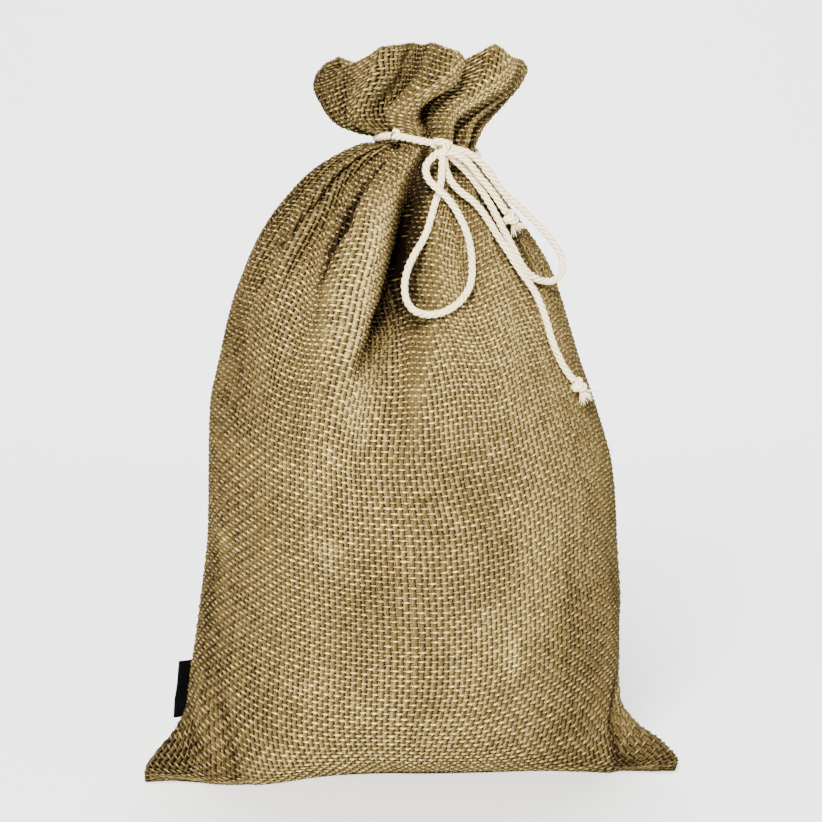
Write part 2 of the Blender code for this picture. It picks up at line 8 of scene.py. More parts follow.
import bmesh
import bpy
import numpy as np
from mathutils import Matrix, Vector


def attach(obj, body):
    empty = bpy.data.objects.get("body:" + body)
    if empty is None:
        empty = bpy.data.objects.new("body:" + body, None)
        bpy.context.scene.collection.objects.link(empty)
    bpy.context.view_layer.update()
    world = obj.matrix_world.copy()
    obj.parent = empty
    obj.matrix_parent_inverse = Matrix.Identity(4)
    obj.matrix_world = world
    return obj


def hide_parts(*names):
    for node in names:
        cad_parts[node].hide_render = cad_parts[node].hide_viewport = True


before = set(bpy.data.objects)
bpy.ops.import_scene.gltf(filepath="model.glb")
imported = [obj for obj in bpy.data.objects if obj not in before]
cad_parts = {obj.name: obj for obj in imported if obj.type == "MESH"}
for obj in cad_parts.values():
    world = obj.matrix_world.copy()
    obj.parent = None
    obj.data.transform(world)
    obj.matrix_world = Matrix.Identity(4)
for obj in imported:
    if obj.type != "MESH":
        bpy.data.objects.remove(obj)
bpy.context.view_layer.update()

logging.basicConfig(level=logging.INFO, format="%(message)s")
REPORT = logging.getLogger("gift_pouch")

MM = 0.001
BODY = "root"

Color = tuple[float, float, float]
Point = tuple[float, float, float]


class Slot(Enum):
    """The record's material slots."""

    JUTE = "jute_hessian"
    COTTON = "cotton_cord"
    RIBBON = "label_ribbon"
    THREAD = "tack_thread"


class Side(Enum):
    """The two sets of threads in a plain weave."""

    WARP = "warp"
    WEFT = "weft"


def srgb(red: float, green: float, blue: float) -> Color:
    """A screen colour, 0 to 255, as scene-linear values.

    Args:
        red: The red value.
        green: The green value.
        blue: The blue value.

    Returns:
        The three linear values.
    """
    values = (red / 255, green / 255, blue / 255)
    return tuple(v / 12.92 if v <= 0.04045 else ((v + 0.055) / 1.055) ** 2.4 for v in values)


def smoothstep(low: float, high: float, value: np.ndarray) -> np.ndarray:
    """Rises softly from 0 to 1.

    Args:
        low: Where it leaves 0.
        high: Where it reaches 1.
        value: The places to read it at.

    Returns:
        The share at each place.
    """
    share = np.clip((value - low) / (high - low), 0.0, 1.0)
    return share * share * (3.0 - 2.0 * share)


def curve_through(xs: list[float], ys: list[float], x: np.ndarray) -> np.ndarray:
    """A smooth curve through the given points that never overshoots them.

    Args:
        xs: The places of the points, rising.
        ys: Their values.
        x: The places to read the curve at.

    Returns:
        The curve's values.
    """
    xs, ys = np.asarray(xs, float), np.asarray(ys, float)
    step = np.diff(xs)
    slope = np.diff(ys) / step
    tangent = np.empty(len(xs))
    tangent[0], tangent[-1] = slope[0], slope[-1]
    same_way = slope[:-1] * slope[1:] > 0
    weighted = (step[:-1] + step[1:]) * 3.0
    first, second = 2.0 * step[1:] + step[:-1], step[1:] + 2.0 * step[:-1]
    with np.errstate(divide="ignore", invalid="ignore"):
        harmonic = weighted / (first / slope[:-1] + second / slope[1:])
    tangent[1:-1] = np.where(same_way, harmonic, 0.0)
    i = np.clip(np.searchsorted(xs, x, side="right") - 1, 0, len(step) - 1)
    t = (np.clip(x, xs[0], xs[-1]) - xs[i]) / step[i]
    return (
        ys[i] * (1 + 2 * t) * (1 - t) ** 2
        + tangent[i] * step[i] * t * (1 - t) ** 2
        + ys[i + 1] * t * t * (3 - 2 * t)
        + tangent[i + 1] * step[i] * t * t * (t - 1)
    )


def unit(vectors: np.ndarray) -> np.ndarray:
    """The vectors, each made one long."""
    return vectors / np.maximum(np.linalg.norm(vectors, axis=-1, keepdims=True), 1e-12)


def hump(offset: np.ndarray, spread: float) -> np.ndarray:
    """A soft hump: 1 where the offset is 0, fading out over the spread."""
    return np.exp(-((offset / spread) ** 2))


def length_along(points: np.ndarray) -> np.ndarray:
    """How far along a line each of its points is, from 0 at the first."""
    return np.concatenate([[0.0], np.cumsum(np.linalg.norm(np.diff(points, axis=0), axis=1))])


def mesh_from(form: bmesh.types.BMesh, name: str) -> bpy.types.Mesh:
    """Turns a finished form into a mesh and lets the form go.

    Args:
        form: The form.
        name: The mesh's name.

    Returns:
        The mesh.
    """
    mesh = bpy.data.meshes.new(name)
    form.to_mesh(mesh)
    form.free()
    return mesh


def put(name: str, data: bpy.types.ID) -> bpy.types.Object:
    """Puts a new object in the scene.

    Args:
        name: Its name.
        data: Its mesh, light or camera.

    Returns:
        The object.
    """
    made = bpy.data.objects.new(name, data)
    bpy.context.scene.collection.objects.link(made)
    return made


# The standing bag's sections, one for each height up the cloth: where its two sides, its front and its
# back are, in millimetres. lens is how square the section is, and crest how late it rises to its sides.
SECTION_COLUMNS = (
    "up", "left_x", "left_y", "left_z", "right_x", "right_y", "right_z",
    "front_y", "front_z", "back_y", "back_z", "lens", "crest",
)  # fmt: skip
SECTIONS = (
    (0, -98.4, -41, 0, 99.4, -24, 0, 0, 0, 0, 0, 1.5, 4.0),
    (9, -99.3, -37, 4, 101.0, -21, 4, -9, 0, 9, 0, 1.5, 4.0),
    (18, -95.6, -27, 9, 96.0, -14, 9.5, -18, 0, 18, 0, 1.6, 4.0),
    (27, -89.6, -16, 15, 86.5, -8, 15.5, -26, 0.2, 26, 0.2, 1.75, 3.8),
    (37, -85.5, -8, 24, 80.5, -2, 24, -34.5, 4.5, 34, 4.5, 1.9, 3.2),
    (50, -84.0, -4, 37, 79.8, 0, 37, -41.5, 15, 41, 15, 2.05, 2.6),
    (70, -81.2, -1, 57, 80.9, 0, 57, -46, 35, 45.5, 35, 2.2, 2.2),
    (98, -77.6, 0, 85, 78.0, 0, 85, -47, 63, 46.5, 63, 2.25, 2.0),
    (126, -77.0, 0, 113, 76.2, 0, 113, -47, 91, 46.5, 91, 2.25, 2.0),
    (148, -76.0, 0, 136, 70.6, 0, 135.5, -46.5, 113, 46, 113, 2.2, 2.0),
    (168, -71.8, 0, 156, 63.5, 0, 155.5, -45, 134, 44.5, 134, 2.2, 2.0),
    (186, -67.8, 0, 174, 57.9, 0, 173.5, -42.5, 153, 42, 153, 2.15, 2.0),
    (202, -62.8, 0, 190, 52.0, 0, 189.5, -39.5, 170, 39, 170, 2.1, 2.0),
    (217, -55.9, 0, 204.5, 43.0, 0, 203.5, -36, 186, 35.5, 186, 2.1, 2.0),
    (231, -46.6, 0, 216.5, 35.0, 0, 214.5, -31.5, 202, 31, 202, 2.05, 2.0),
    (242, -37.6, 0, 225.0, 30.0, 0, 221.5, -27.5, 214, 27, 214.5, 2.0, 2.0),
    (251, -27.8, 0, 230.6, 27.2, 0, 225, -24, 223, 23.5, 224, 2.0, 2.0),
    (258, -18.8, 0, 234.2, 26.0, 0, 228, -20.8, 229.5, 20, 230.5, 2.0, 2.0),
    (262.5, -14.4, 0, 235.0, 25.2, 0, 230, -19.2, 233, 18.3, 234, 2.0, 2.0),
    (267.5, -14.6, 0, 237.2, 25.4, 0, 234.3, -19.2, 237.8, 18.3, 238.3, 2.0, 2.0),
    (272, -20.2, 0, 238.6, 26.8, 0, 238.5, -20, 242, 19, 242, 2.0, 2.0),
    (278, -28.4, 0, 241.8, 30.5, 0, 244, -21.5, 247.5, 20.5, 247.5, 2.0, 2.0),
    (286, -34.2, 0, 248.6, 36.0, 0, 250.5, -24, 254.5, 23, 254, 2.0, 2.0),
    (295, -37.4, 0, 256.5, 41.5, 0, 257, -26, 262, 25.5, 261.5, 2.0, 2.0),
    (303, -36.2, 0, 261.0, 44.2, 0, 262.5, -26, 268.5, 25, 267, 2.0, 2.0),
)
# The valleys of the gathered cloth, each by its place round the cloth. Its two angles are its bearings from
# the front, where it is tied and at the rim. depths is how far it sinks in, at the heights in FOLD_LEVELS,
# and a power over 1 narrows it. bulge is how far the crest after it swells out, and the last two are how
# far the rim rises at the valley and at that crest.
FOLD_LEVELS = (150, 168, 186, 202, 217, 231, 245, 262.5, 267.5, 278, 290, 303)
FOLD_COLUMNS = (
    "cloth", "angle_neck", "angle_top", "depths", "power", "power_top", "bulge", "top", "crest_top",
)  # fmt: skip
FOLDS = (
    (0, -90, -90, (0, 0, 0.3, 0.8, 1.5, 3, 5, 6.5, 6.5, 4, 2, 1), 1.4, 1.4, 0, -1, -2),
    (27, -70, -44, (0, 0, 0.8, 2.4, 4, 5, 6.5, 7.5, 7.5, 5, 3, 1.5), 1.4, 1.4, 0, -2, -1),
    (51, -50, -4, (0, 0.8, 2.5, 5, 7, 7.5, 7, 6.5, 7, 12, 16, 17), 0.9, 0.5, 6.0, 2.5, 0),
    (94, 13, 40, (0.5, 5, 14, 22, 25, 22, 15, 12, 12, 13, 15, 15), 1.2, 0.85, 1.5, 1, -2),
    (126, 43, 72, (0, 0, 0, 0, 0, 1, 5, 9, 8, 2.5, 0.4, 0.2), 1.4, 1.4, 0, -1, 0),
    (156, 68, 88, (0, 0.6, 1.6, 3, 5, 7, 8, 8, 8, 5, 3, 2.5), 1.2, 1.2, 0, 0, -1),
    (184, 90, 109, (0, 0, 0.5, 1.5, 3, 5, 6.5, 7.5, 7.5, 4, 1.5, 1), 1.4, 1.4, 0, -1, 0),
    (216, 114, 128, (0, 0, 1, 3, 5, 7, 8, 8.5, 8.5, 8, 7, 7), 1.2, 1.2, 0, -1, 1),
    (244, 138, 150, (0, 0.5, 2, 4, 6, 8, 9, 9.5, 9.5, 6, 3, 2), 1.4, 1.4, 2, -1, 1),
    (276, 166, 174, (0, 1, 3, 6, 9, 11, 11.5, 11.5, 11.5, 12, 13, 13), 1.1, 1.1, 1, -2, 0),
    (308, 195, 199, (0, 0, 1.2, 3, 5, 7, 9, 10.5, 10.5, 7, 3.5, 2.5), 1.4, 1.4, 2, -1, 1),
    (340, 222, 224, (0, 0.5, 2, 5, 7, 9, 10, 10.5, 10.5, 10, 10, 10), 1.2, 1.2, 0, -2, -1),
    (373, 248, 246, (0, 0, 0.8, 2, 4, 5.5, 7, 8, 8, 6, 4, 3), 1.4, 1.4, 0, -1, -2),
)
# Where the front swells low down, near each bottom corner
TOE_COLUMNS = ("across", "reach", "spread")
TOES = ((-0.76, 27.0, 0.3), (0.9, 14.0, 0.18))

# How far the rim rises above its even height, round the cloth, in millimetres
RIM_PLACES = (0, 15, 25, 35, 40, 45, 52, 65, 71, 76, 81, 87, 94, 100, 105, 110, 118, 126, 133, 142, 152,
              200, 240, 255, 265, 340, 350, 357, 372, 385, 392, 400)  # fmt: skip
RIM_RISES = (-1, -1, 0, 0.7, 2.8, 1.2, -0.5, 1.8, 0.4, -2, -4, -4, -3, 1.8, 6.6, 3.2, 2.6, 1.8, 0.2, -0.8,
             0, 0, -0.5, -1.6, 0, 0, 2.6, 4.2, 4, 2.2, 0, -1)  # fmt: skip

# The main creases, given one by one. Each is a straight stretch in the cloth's own places, in millimetres.
# A rise under 0 is a soft trough, and over 0 a soft ridge. spread is its half width.
CREASE_COLUMNS = ("from_cloth", "from_up", "to_cloth", "to_up", "spread", "rise")
CREASES = (
    (44.5, 260, 45, 234, 1.4, -2.2), (45, 234, 41, 221, 1.7, -2.2), (41, 221, 27, 200, 2.2, -1.8),
    (49, 256, 51, 229, 1.5, -1.8), (51, 229, 45, 206, 2.0, -1.8), (57, 252, 60, 226, 1.8, 1.2),
    (64.5, 258, 68.5, 234, 1.5, -2.6), (68.5, 234, 66, 216, 2.2, -3.2), (66, 216, 64, 196, 3.0, -2.0),
    (36, 240, 22, 205, 2.2, -1.3), (30, 232, 14, 196, 2.8, 1.0), (20, 236, 6, 200, 2.4, -1.0),
    (78, 232, 73, 190, 4.5, 1.6), (97, 240, 93, 222, 2.4, -3.0), (93, 224, 86, 202, 3.6, -3.6),
    (86, 204, 82, 184, 3.4, -2.8), (90, 190, 97, 164, 4.5, -1.2), (112, 246, 116, 214, 2.4, 1.0),
    (118, 242, 124, 206, 2.0, -1.2), (133, 244, 140, 210, 2.2, 1.0), (146, 246, 152, 208, 2.0, -1.6),
    (165, 238, 171, 196, 2.4, -2.0), (178, 234, 186, 196, 2.8, 1.2), (186, 240, 193, 204, 2.2, -1.3),
    (26, 296, 24, 274, 1.8, -1.1), (36, 298, 33, 274, 1.8, 0.9), (46, 302, 47, 276, 1.6, -0.9),
    (106, 302, 101, 276, 1.8, -0.8), (116, 300, 112, 274, 1.8, 0.8), (134, 300, 131, 272, 1.8, -1.4),
    (146, 298, 144, 274, 1.8, -0.9), (184, 16, 192, 46, 4.0, -2.6), (192, 6, 198, 24, 2.5, 1.0),
    (175, 14, 184, 34, 4.0, 1.3), (8, 12, 12, 42, 4.0, -0.9), (22, 20, 18, 50, 5.0, 1.3),
    (36, 24, 30, 52, 5.0, -1.3), (2, 60, 18, 96, 6.0, -0.9), (198, 62, 184, 100, 6.0, -1.0),
    (120, 150, 134, 118, 9.0, -0.9), (70, 150, 58, 104, 10.0, 0.9), (150, 84, 128, 60, 9.0, -0.9),
    (92, 116, 84, 78, 9.0, -0.8), (205, 60, 224, 102, 6.0, -0.9), (244, 246, 240, 214, 2.4, 0.9),
    (262, 244, 266, 206, 2.4, -1.2), (288, 246, 290, 206, 2.4, 0.9), (318, 244, 322, 208, 2.4, -1.2),
    (352, 244, 356, 206, 2.4, 0.9), (386, 246, 390, 210, 2.4, -1.0), (226, 240, 222, 206, 2.4, -1.2),
    (280, 196, 272, 158, 4.0, -1.2), (300, 120, 316, 84, 9.0, -0.9), (250, 104, 240, 66, 9.0, 0.9),
    (384, 62, 372, 98, 6.0, -0.9), (392, 12, 386, 40, 4.0, -1.2), (212, 14, 220, 42, 4.0, -1.2),
    (268, 298, 270, 274, 1.8, 0.6), (300, 298, 298, 274, 1.8, -0.7), (352, 298, 350, 274, 1.8, 0.6),
    (236, 298, 238, 274, 1.8, 0.6),
)  # fmt: skip


@dataclass(frozen=True)
class GatheredCloth:
    """The sewn bag's cloth as it stands: the same folds as its solid, with its finer creases.

    Places are in millimetres: cloth is the place round the bag from its left seam, by the front,
    and up is the height up the cloth. Past the rim, the run goes over the hem's fold and down inside.
    """

    around: float = 400.0
    height: float = 303.0
    middle_depth: float = 0.6
    hem_roll: float = 0.7
    hem_turned: float = 8.4
    bulge_height: float = 214.0
    bulge_spread: float = 24.0
    meander: float = 0.6
    tied_power: float = 1.5
    tied_height: float = 265.0
    tied_spread: float = 14.0
    angles_leave: float = 150.0
    angles_set: float = 262.5
    angles_open: float = 270.0
    toe_height: float = 27.0
    toe_fades: float = 26.0
    belly_half_width: float = 77.0
    belly_half_depth: float = 46.0
    belly_full: float = 55.0
    flat_foot: float = 0.6
    ruffle_opens: float = 272.0
    ruffle_open: float = 292.0
    seam_sunk: float = 0.8
    seam_spread: float = 1.8
    tied_in: float = 1.6
    cord_height: float = 264.5
    cord_spread: float = 2.6
    slack: float = 0.18
    foot_lifts: tuple[float, float] = (20.0, 60.0)
    seam_starts: tuple[float, float] = (20.0, 45.0)
    slack_starts: tuple[float, float] = (25.0, 60.0)

    @property
    def run(self) -> float:
        """The cloth's whole cut height, with the turned hem."""
        return self.height + math.pi * self.hem_roll + self.hem_turned

    def section_value(self, name: str, up: np.ndarray) -> np.ndarray:
        """A column of SECTIONS, read at any height up the cloth.

        Args:
            name: The column's name.
            up: The heights.

        Returns:
            The column's values there.
        """
        column = SECTION_COLUMNS.index(name)
        return curve_through([row[0] for row in SECTIONS], [row[column] for row in SECTIONS], up)

    def natural_bearing(self, cloth: np.ndarray, up: np.ndarray) -> np.ndarray:
        """Where a place lies about a section's middle, from the front, with no folds.

        Args:
            cloth: The places round the cloth.
            up: Their heights.

        Returns:
            The bearings in radians.
        """
        half = self.around / 2
        bearings = np.linspace(-math.pi / 2, math.pi / 2, 181)
        belly = np.cumsum(
            np.hypot(self.belly_half_width * np.cos(bearings), self.belly_half_depth * np.sin(bearings))
        )
        belly = half * (belly - belly[0]) / (belly[-1] - belly[0])
        place = np.mod(cloth, half)
        round_bearing = np.interp(place, belly, bearings)
        flat_bearing = np.arcsin(np.clip(2 * place / half - 1, -1, 1))
        full = smoothstep(0.0, self.belly_full, up)
        return full * round_bearing + (1 - full) * flat_bearing + math.pi * np.floor(cloth / half)

    def fold_rows(self) -> list[dict]:
        """The valleys, with one more on each side to close the ring."""
        rows = [dict(zip(FOLD_COLUMNS, row)) for row in FOLDS]
        before, after = dict(rows[-1]), dict(rows[0])
        before["cloth"] -= self.around
        after["cloth"] += self.around
        for name in ("angle_neck", "angle_top"):
            before[name] -= 360.0
            after[name] += 360.0
        return [before, *rows, after]

    def outside(self, cloth: np.ndarray, up: np.ndarray) -> np.ndarray:
        """The outside of the bag's solid.

        Args:
            cloth: The places round the cloth.
            up: The heights up the cloth, one for each place.

        Returns:
            The points, in millimetres.
        """
        cloth = np.mod(cloth, self.around)
        folds = self.fold_rows()
        places = np.array([fold["cloth"] for fold in folds])
        left = np.clip(np.searchsorted(places, cloth, side="right") - 1, 0, len(folds) - 2)
        gathered = smoothstep(self.angles_leave, self.angles_set, up)
        opened = smoothstep(self.angles_open, self.height - 8, up)
        bearing, depth = [], []
        for fold in folds:
            natural = self.natural_bearing(fold["cloth"] + self.around, up) - 2 * math.pi
            tied = np.radians(fold["angle_neck"] * (1 - opened) + fold["angle_top"] * opened)
            bearing.append(natural + (tied - natural) * gathered)
            depth.append(curve_through(FOLD_LEVELS, fold["depths"], up))
        bearing, depth = np.array(bearing), np.array(depth)
        named = ("power", "power_top", "bulge", "top", "crest_top")
        trait = {name: np.array([fold[name] for fold in folds]) for name in named}
        spot = np.arange(len(cloth))
        share = (cloth - places[left]) / (places[left + 1] - places[left])
        low, high = bearing[left, spot], bearing[left + 1, spot]
        natural = self.natural_bearing(cloth, up)
        natural_low = self.natural_bearing(places[left] + self.around, up) - 2 * math.pi
        natural_high = self.natural_bearing(places[left + 1] + self.around, up) - 2 * math.pi
        eased = 0.5 * share + 0.5 * share * share * (3 - 2 * share)
        angle = natural + (low - natural_low) * (1 - eased) + (high - natural_high) * eased
        sunk = np.where(share < 0.5, depth[left, spot], depth[left + 1, spot])
        stiff = self.meander * sunk / (sunk + 0.3 * (high - low) * 25.0)
        angle = angle + (high - low) * stiff * np.sin(4 * math.pi * share) / (4 * math.pi)
        nearer = np.where(share < 0.5, left, left + 1)
        power = trait["power"][nearer]
        opening = smoothstep(self.ruffle_opens, self.ruffle_open, up)
        power = power + (trait["power_top"][nearer] - power) * opening
        power = power + (self.tied_power - power) * hump(up - self.tied_height, self.tied_spread)
        crest_share = (1 - np.cos(2 * math.pi * share)) / 2
        swell = trait["bulge"][left] * hump(up - self.bulge_height, self.bulge_spread)
        sunk = sunk * (1 - crest_share) ** power - swell * crest_share

        value = {name: self.section_value(name, up) for name in SECTION_COLUMNS[1:]}
        across, deep = np.sin(angle), -np.cos(angle)
        middle_x = (value["left_x"] + value["right_x"]) / 2
        middle_y = (value["front_y"] + value["back_y"]) / 2
        half_x = (value["right_x"] - value["left_x"]) / 2
        half_y = (value["back_y"] - value["front_y"]) / 2
        x = half_x * np.sign(across) * np.abs(across) ** (2 / value["lens"])
        y = half_y * np.sign(deep) * np.abs(deep) ** (2 / value["lens"])
        keep = 1 - sunk / np.maximum(np.hypot(x, y), 1e-6)
        seam_y = np.where(across < 0, value["left_y"], value["right_y"])
        seam_z = np.where(across < 0, value["left_z"], value["right_z"])
        middle_z = np.where(deep < 0, value["front_z"], value["back_z"])
        for row in TOES:
            toe = dict(zip(TOE_COLUMNS, row))
            near = hump(across - toe["across"], toe["spread"]) * np.sqrt(np.maximum(-deep, 0.0))
            y = y - toe["reach"] * near * hump(up - self.toe_height, self.toe_fades)
        foot = self.flat_foot * (1 - smoothstep(*self.foot_lifts, up))
        lift = (np.maximum(np.abs(across) - foot, 0.0) / (1 - foot)) ** value["crest"]
        hem = trait["top"][nearer] * (1 - crest_share) + trait["crest_top"][left] * crest_share
        hem = hem + curve_through(RIM_PLACES, RIM_RISES, cloth)
        return np.stack(
            [
                middle_x + x * keep,
                middle_y + y * keep + seam_y * np.abs(across) ** 2,
                middle_z + (seam_z - middle_z) * lift + hem * smoothstep(self.ruffle_opens, self.height, up),
            ],
            axis=-1,
        )

    def relief(self, cloth: np.ndarray, up: np.ndarray) -> np.ndarray:
        """How far the creases, the seams and the cloth's slack lift it off the solid's outside.

        Args:
            cloth: The places round the cloth.
            up: Their heights.

        Returns:
            The lift in millimetres, under 0 where the cloth sinks.
        """
        rise = np.zeros_like(cloth)
        for row in CREASES:
            crease = dict(zip(CREASE_COLUMNS, row))
            way = crease["to_cloth"] - crease["from_cloth"], crease["to_up"] - crease["from_up"]
            length = np.hypot(*way)
            off_cloth, off_up = cloth - crease["from_cloth"], up - crease["from_up"]
            along = (off_cloth * way[0] + off_up * way[1]) / length**2
            aside = (off_cloth * way[1] - off_up * way[0]) / length
            ends = smoothstep(-0.25, 0.2, along) * (1 - smoothstep(0.8, 1.25, along))
            rise += crease["rise"] * ends * hump(aside, crease["spread"])
        half = self.around / 2
        from_seam = np.minimum(np.mod(cloth, half), half - np.mod(cloth, half))
        turn = 2 * math.pi * cloth / self.around
        rise -= self.seam_sunk * hump(from_seam, self.seam_spread) * smoothstep(*self.seam_starts, up)
        rise -= self.tied_in * np.abs(np.cos(turn)) * hump(up - self.cord_height, self.cord_spread)
        waves = np.sin(5 * turn + up / 21.0) + np.sin(9 * turn - up / 13.0 + 1.3)
        waves += 0.7 * np.sin(14 * turn + up / 17.0 + 2.1) + 0.6 * np.sin(up / 9.5 - 3 * turn)
        return rise + self.slack * waves * smoothstep(*self.slack_starts, up)

    def frame_at(self, cloth: np.ndarray, up: np.ndarray) -> tuple[np.ndarray, ...]:
        """The solid's outside with its directions.

        Args:
            cloth: The places round the cloth.
            up: Their heights.

        Returns:
            The points, the way round the cloth, the way up it and the way out of it. The first two
            ways are as long as the cloth is stretched there.
        """
        small = 0.05
        up = np.clip(up, small, self.height - small)
        round_way = (self.outside(cloth + small, up) - self.outside(cloth - small, up)) / (2 * small)
        up_way = (self.outside(cloth, up + small) - self.outside(cloth, up - small)) / (2 * small)
        return self.outside(cloth, up), round_way, up_way, unit(np.cross(round_way, up_way))

    def laid(self, cloth: np.ndarray, run: np.ndarray) -> tuple[np.ndarray, ...]:
        """The middle of the cloth's thickness, with its directions, over the hem's fold as well.

        Args:
            cloth: The places round the cloth.
            run: The places up the cloth, past its height where it is turned in at the hem.

        Returns:
            The points, the way round, the way along the run and the way out of the cloth's face.
        """
        past = np.maximum(run - self.height, 0.0)
        turn = np.minimum(past / self.hem_roll, math.pi)
        up = np.minimum(run, self.height) - np.maximum(past - math.pi * self.hem_roll, 0.0)
        point, round_way, up_way, out = self.frame_at(cloth, up)
        rising = unit(up_way)
        face = out * np.cos(turn)[:, None] + rising * np.sin(turn)[:, None]
        ahead = up_way * np.cos(turn)[:, None] - out * np.sin(turn)[:, None]
        lift = self.relief(cloth, up) - self.middle_depth - self.hem_roll
        return point + out * lift[:, None] + face * self.hem_roll, round_way, ahead, face


CLOTH = GatheredCloth()


class EvenLay:
    """Where the threads lie when each takes its even share of the folded cloth.

    The cloth's folds stretch its own places on the crests, so threads that were only counted off there
    would stand wide apart. Tables of shifts bring them back to an even spacing.
    """

    COLUMNS = 200
    ROWS = 101
    SHARE = 0.85
    SMOOTHINGS = 24
    STARTS, FULL = 100.0, 190.0

    def __init__(self, cloth: GatheredCloth) -> None:
        """Measures the cloth and fills the tables.

        Args:
            cloth: The cloth.
        """
        self.cloth = cloth
        columns, rows = self.COLUMNS, self.ROWS
        places, heights = np.linspace(0, cloth.around, columns + 1), np.linspace(0, cloth.height, rows + 1)
        at, up = np.meshgrid(places, heights)
        middle = cloth.laid(at.ravel(), up.ravel())[0].reshape(*at.shape, 3)
        self.shifts = {Side.WARP: np.zeros_like(at), Side.WEFT: np.zeros_like(at)}
        half = columns // 2
        for table, line in zip(self.shifts[Side.WARP], middle):
            for part in (slice(0, half + 1), slice(half, columns + 1)):
                table[part] = self.evened(line[part], places[part]) - places[part]
        for column in range(columns + 1):
            self.shifts[Side.WEFT][:, column] = self.evened(middle[:, column], heights) - heights
        for table in self.shifts.values():
            inner = table[1:-1, 1:-1]
            for _ in range(self.SMOOTHINGS):
                beside = inner * 2 + table[:-2, 1:-1] + table[2:, 1:-1] + table[1:-1, :-2] + table[1:-1, 2:]
                inner[:] = beside / 6
            table *= self.SHARE * smoothstep(self.STARTS, self.FULL, up)

    def evened(self, line: np.ndarray, places: np.ndarray) -> np.ndarray:
        """The places that split a line into even lengths.

        Args:
            line: The line's points.
            places: The place of each point.

        Returns:
            The new places, with the same two ends.
        """
        length = length_along(line)
        return np.interp(np.linspace(0, length[-1], len(places)), length, places)

    def shift(self, side: Side, cloth: np.ndarray, run: np.ndarray) -> np.ndarray:
        """How far a crossing moves, round the cloth for a warp and up it for a weft.

        Args:
            side: Warp or weft.
            cloth: The places round the cloth.
            run: The places up it.

        Returns:
            The shifts, in millimetres.
        """
        table = self.shifts[side]
        past = np.maximum(run - self.cloth.height, 0.0)
        column = np.clip(cloth / self.cloth.around, 0, 1) * (table.shape[1] - 1)
        row = np.clip((np.minimum(run, self.cloth.height) - past) / self.cloth.height, 0, 1)
        row = row * (table.shape[0] - 1)
        i = np.minimum(column.astype(int), table.shape[1] - 2)
        j = np.minimum(row.astype(int), table.shape[0] - 2)
        u, v = column - i, row - j
        low = table[j, i] * (1 - u) + table[j, i + 1] * u
        high = table[j + 1, i] * (1 - u) + table[j + 1, i + 1] * u
        found = low * (1 - v) + high * v
        return np.where(past > 0, 0.0, found) if side is Side.WEFT else found


